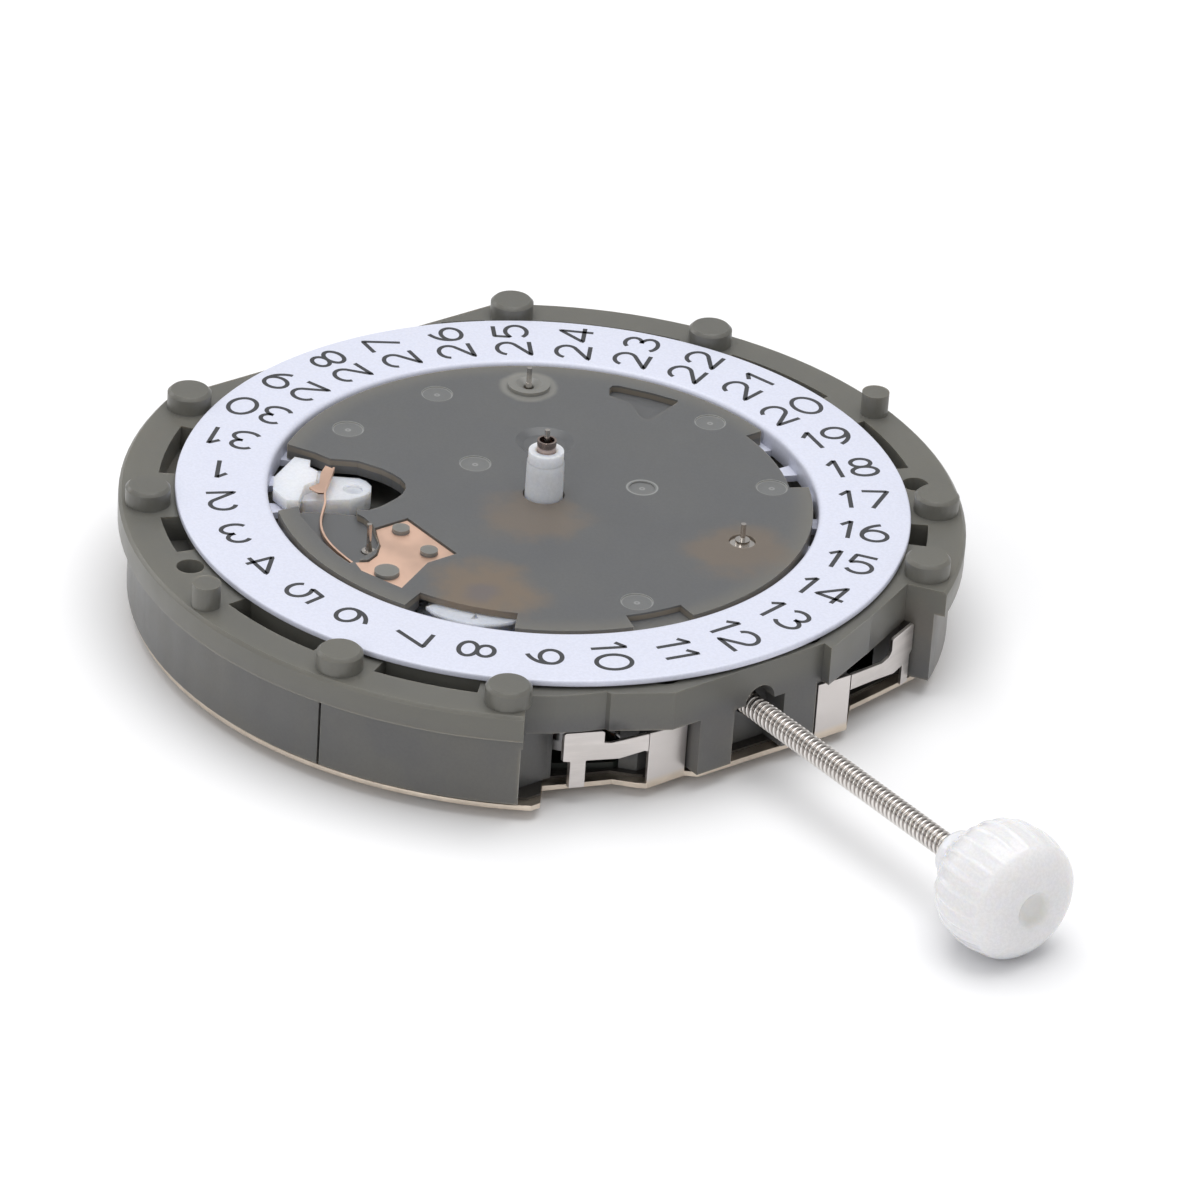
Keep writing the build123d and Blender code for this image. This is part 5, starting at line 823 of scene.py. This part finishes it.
class MOVEMENT_OT_stem(bpy.types.Operator):
    """Winding stem with its square, groove and helical thread"""

    bl_idname = "movement.stem"
    bl_label = "Make the stem"

    def execute(self, context):
        sizes = context.scene.movement_sizes
        steps = 32
        steps_per_pitch = 12
        flatness = 1.4
        angle = np.linspace(0, 2 * np.pi, steps, endpoint=False)
        low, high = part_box("stem")
        start = low.x / MM
        end = high.x / MM
        thin = 0.25
        square = 0.31
        full = 0.45
        thread_start = 12.40
        relief = 0.10
        first_turn = thread_start + 0.12
        # Place along the stem, radius, and 1 where the section is a square
        plain = [(start, 0.0, 0), (start, 0.22, 0), (start + 0.03, thin, 0), (5.80, thin, 0),
                 (5.80, square, 1), (8.90, square, 1), (8.90, full, 0), (9.46, full, 0),
                 (9.50, thin, 0), (9.90, thin, 0), (9.94, full, 0), (thread_start, full, 0),
                 (thread_start + relief, 0.40, 0)]
        x, radius, is_square = (np.array(column)[:, None] for column in zip(*plain))
        widest = np.maximum(np.abs(np.cos(angle)), np.abs(np.sin(angle)))
        shank_radius = radius * np.where(is_square == 1, 1 / widest, 1.0)
        shank_x = np.repeat(x, steps, axis=1)
        # The thread's radius follows the place along the stem less the turn's share of a pitch
        count = int((end - first_turn) / sizes.thread_pitch * steps_per_pitch)
        along = np.linspace(first_turn, end - 0.02, count)[:, None]
        wave = np.cos(2 * np.pi * along / sizes.thread_pitch - angle)
        crest = np.tanh(flatness * wave) / np.tanh(flatness)
        thread_radius = full - sizes.thread_depth * (0.5 - 0.5 * crest)
        thread_x = np.repeat(along, steps, axis=1)
        x = np.vstack([shank_x, thread_x, np.full((1, steps), end)])
        radius = np.vstack([shank_radius, thread_radius, np.zeros((1, steps))])
        grid = np.stack([x, radius * np.cos(angle), STEM_HEIGHT + radius * np.sin(angle)], -1)
        Shell().add(grid, False, True).piece(
            "threaded_stem", finish("thread_steel"), "stem", "steel", ("stem",), 50)
        return {"FINISHED"}


class MOVEMENT_OT_crown(bpy.types.Operator):
    """Plastic crown: a bell-shaped knob with grip ribs along its flank"""

    bl_idname = "movement.crown"
    bl_label = "Make the crown"

    def execute(self, context):
        sizes = context.scene.movement_sizes
        low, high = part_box("crown")
        start = low.x / MM
        length = (high.x - low.x) / MM
        knob_radius = 2.37
        # Shares of the length and of the radius, from the neck over the knob to the face's dimple
        shares = [(0, 0), (0, 0.30), (0.02, 0.36), (0.06, 0.39), (0.11, 0.40), (0.16, 0.46),
                  (0.21, 0.59), (0.27, 0.74), (0.35, 0.88), (0.45, 0.965), (0.56, 0.995),
                  (0.67, 1.00), (0.77, 0.975), (0.855, 0.93), (0.875, 0.91), (0.93, 0.82),
                  (0.98, 0.68), (1.00, 0.48), (0.995, 0.30), (0.975, 0.25), (0.955, 0.18),
                  (0.95, 0)]
        profile = softened(shares, 3)
        along = profile[:, 0][:, None]
        radius = profile[:, 1][:, None] * knob_radius
        steps_per_rib = 16
        steps = sizes.crown_ribs * steps_per_rib
        angle = np.linspace(0, 2 * np.pi, steps, endpoint=False)
        # Each rib is the upper half of a cosine, squared, and the surface between is sunk. The
        # ribs rise near the neck, grow lower along the knob and end before the face
        rib = np.clip(np.cos(sizes.crown_ribs * angle), 0, 1) ** 2
        rib_start = 0.10
        rib_rise = 0.10
        rib_end = 0.88
        rib_fall = 0.06
        lower = 1.15 - along
        fade = (np.clip((along - rib_start) / rib_rise, 0, 1)
                * np.clip((rib_end - along) / rib_fall, 0, 1) * lower)
        flank = (np.arange(len(profile)) < np.argmax(profile[:, 0]))[:, None]
        out = radius - sizes.rib_height * (1 - rib) * fade * flank
        x = np.repeat(start + along * length, steps, axis=1)
        grid = np.stack([x, out * np.cos(angle), STEM_HEIGHT + out * np.sin(angle)], -1)
        Shell().add(grid, False, True).piece(
            "crown_knob", finish("crown_plastic"), "stem", "crown_plastic", ("crown",), 60)
        return {"FINISHED"}


class MOVEMENT_OT_stage(bpy.types.Operator):
    """Pale floor, soft studio light and the camera at the photograph's angle"""

    bl_idname = "movement.stage"
    bl_label = "Set the stage"

    def execute(self, context):
        self.lay_floor(context)
        self.light(context)
        self.place_camera(context)
        return {"FINISHED"}

    def lay_floor(self, context):
        """Sheet, 1.2 metres wide, just under the movement."""
        mesh = bpy.data.meshes.new("floor")
        half = 0.6
        low = cad_box[0].z - 0.01 * MM
        mesh.from_pydata([(-half, -half, low), (half, -half, low),
                          (half, half, low), (-half, half, low)], [], [(0, 1, 2, 3)])
        floor = bpy.data.objects.new("floor", mesh)
        context.scene.collection.objects.link(floor)
        material = bpy.data.materials.new("floor_paper")
        material.use_nodes = True
        shader = material.node_tree.nodes["Principled BSDF"]
        colour = tuple(context.scene.movement_stage.floor)
        shader.inputs["Base Color"].default_value = four(colour)
        shader.inputs["Roughness"].default_value = 0.9
        mesh.materials.append(material)

    def light(self, context):
        """Even light from all round, and three square lamps that face the centre."""
        stage = context.scene.movement_stage
        context.scene.view_settings.view_transform = "Standard"
        world = bpy.data.worlds.new("studio")
        context.scene.world = world
        world.use_nodes = True
        background = world.node_tree.nodes["Background"]
        background.inputs["Color"].default_value = (1.0, 1.0, 1.0, 1.0)
        background.inputs["Strength"].default_value = stage.sky_strength
        # Name, place and side in metres, share of the key light's power
        lamps = (("top_light", (-0.02, 0.02, 0.30), 0.30, 1.0),
                 ("front_light", (0.10, -0.24, 0.14), 0.12, 0.16),
                 ("side_light", (-0.24, -0.10, 0.12), 0.10, 0.10))
        for name, place, side, share in lamps:
            data = bpy.data.lights.new(name, "AREA")
            data.size = side
            data.energy = stage.key_power * share
            lamp = bpy.data.objects.new(name, data)
            lamp.location = place
            lamp.rotation_euler = Vector(place).to_track_quat("Z", "Y").to_euler()
            context.scene.collection.objects.link(lamp)

    def place_camera(self, context):
        """The camera that was fitted to the photograph: three turns in radians, its distance in
        radii of the date ring, its aim in shares of that distance, and its focal length in pixels
        of the photograph."""
        turn, rise, roll = 0.8985, 0.5232, 0.0684
        distance = 18.6283
        ring_radius = 13.45
        aim = np.array([-0.0082, -0.0157, 1.0])
        focal_pixels = 6861.02
        photo_width = 1200
        sensor = 36.0
        back = np.array([np.sin(turn) * np.cos(rise), -np.cos(turn) * np.cos(rise),
                         np.sin(rise)])
        right = np.array([np.cos(turn), np.sin(turn), 0.0])
        up = np.cross(back, right)
        lean = np.array([[np.cos(roll), -np.sin(roll), 0.0], [np.sin(roll), np.cos(roll), 0.0],
                         [0.0, 0.0, 1.0]])
        rows = lean @ np.array([right, -up, -back])
        reach = distance * ring_radius * MM
        place = -rows.T @ (aim * reach)
        place[2] += RING_TOP * MM
        data = bpy.data.cameras.new("camera")
        data.sensor_width = sensor
        data.lens = focal_pixels / photo_width * sensor
        data.clip_start = 0.01
        data.clip_end = 10.0
        camera = bpy.data.objects.new("camera", data)
        camera.matrix_world = Matrix([[rows[0][0], -rows[1][0], -rows[2][0], place[0]],
                                      [rows[0][1], -rows[1][1], -rows[2][1], place[1]],
                                      [rows[0][2], -rows[1][2], -rows[2][2], place[2]],
                                      [0, 0, 0, 1]])
        context.scene.collection.objects.link(camera)
        context.scene.camera = camera


class MOVEMENT_PT_panel(bpy.types.Panel):
    """Lists the operators and the values"""

    bl_label = "Movement"
    bl_idname = "MOVEMENT_PT_panel"
    bl_space_type = "VIEW_3D"
    bl_region_type = "UI"
    bl_category = "Movement"

    def draw(self, context):
        column = self.layout.column()
        for group in (context.scene.movement_sizes, context.scene.movement_colours,
                      context.scene.movement_stage):
            for name in group.__annotations__:
                column.prop(group, name)
        for operator in OPERATORS:
            column.operator(operator.bl_idname)


OPERATORS = (MOVEMENT_OT_stage, MOVEMENT_OT_finishes, MOVEMENT_OT_dress_nodes,
             MOVEMENT_OT_date_ring, MOVEMENT_OT_stem, MOVEMENT_OT_crown)
CLASSES = (MovementSizes, MovementColours, StageSettings, *OPERATORS, MOVEMENT_PT_panel)


def register():
    """Adds the classes and the values to Blender."""
    for item in CLASSES:
        bpy.utils.register_class(item)
    bpy.types.Scene.movement_sizes = PointerProperty(type=MovementSizes)
    bpy.types.Scene.movement_colours = PointerProperty(type=MovementColours)
    bpy.types.Scene.movement_stage = PointerProperty(type=StageSettings)


def unregister():
    """Takes the values and the classes out again."""
    del bpy.types.Scene.movement_stage
    del bpy.types.Scene.movement_colours
    del bpy.types.Scene.movement_sizes
    for item in reversed(CLASSES):
        bpy.utils.unregister_class(item)


def main():
    """Builds the whole scene by its operators."""
    register()
    bpy.ops.movement.stage()
    bpy.ops.movement.finishes()
    bpy.ops.movement.dress_nodes()
    bpy.ops.movement.date_ring()
    bpy.ops.movement.stem()
    bpy.ops.movement.crown()


if __name__ == "__main__":
    main()
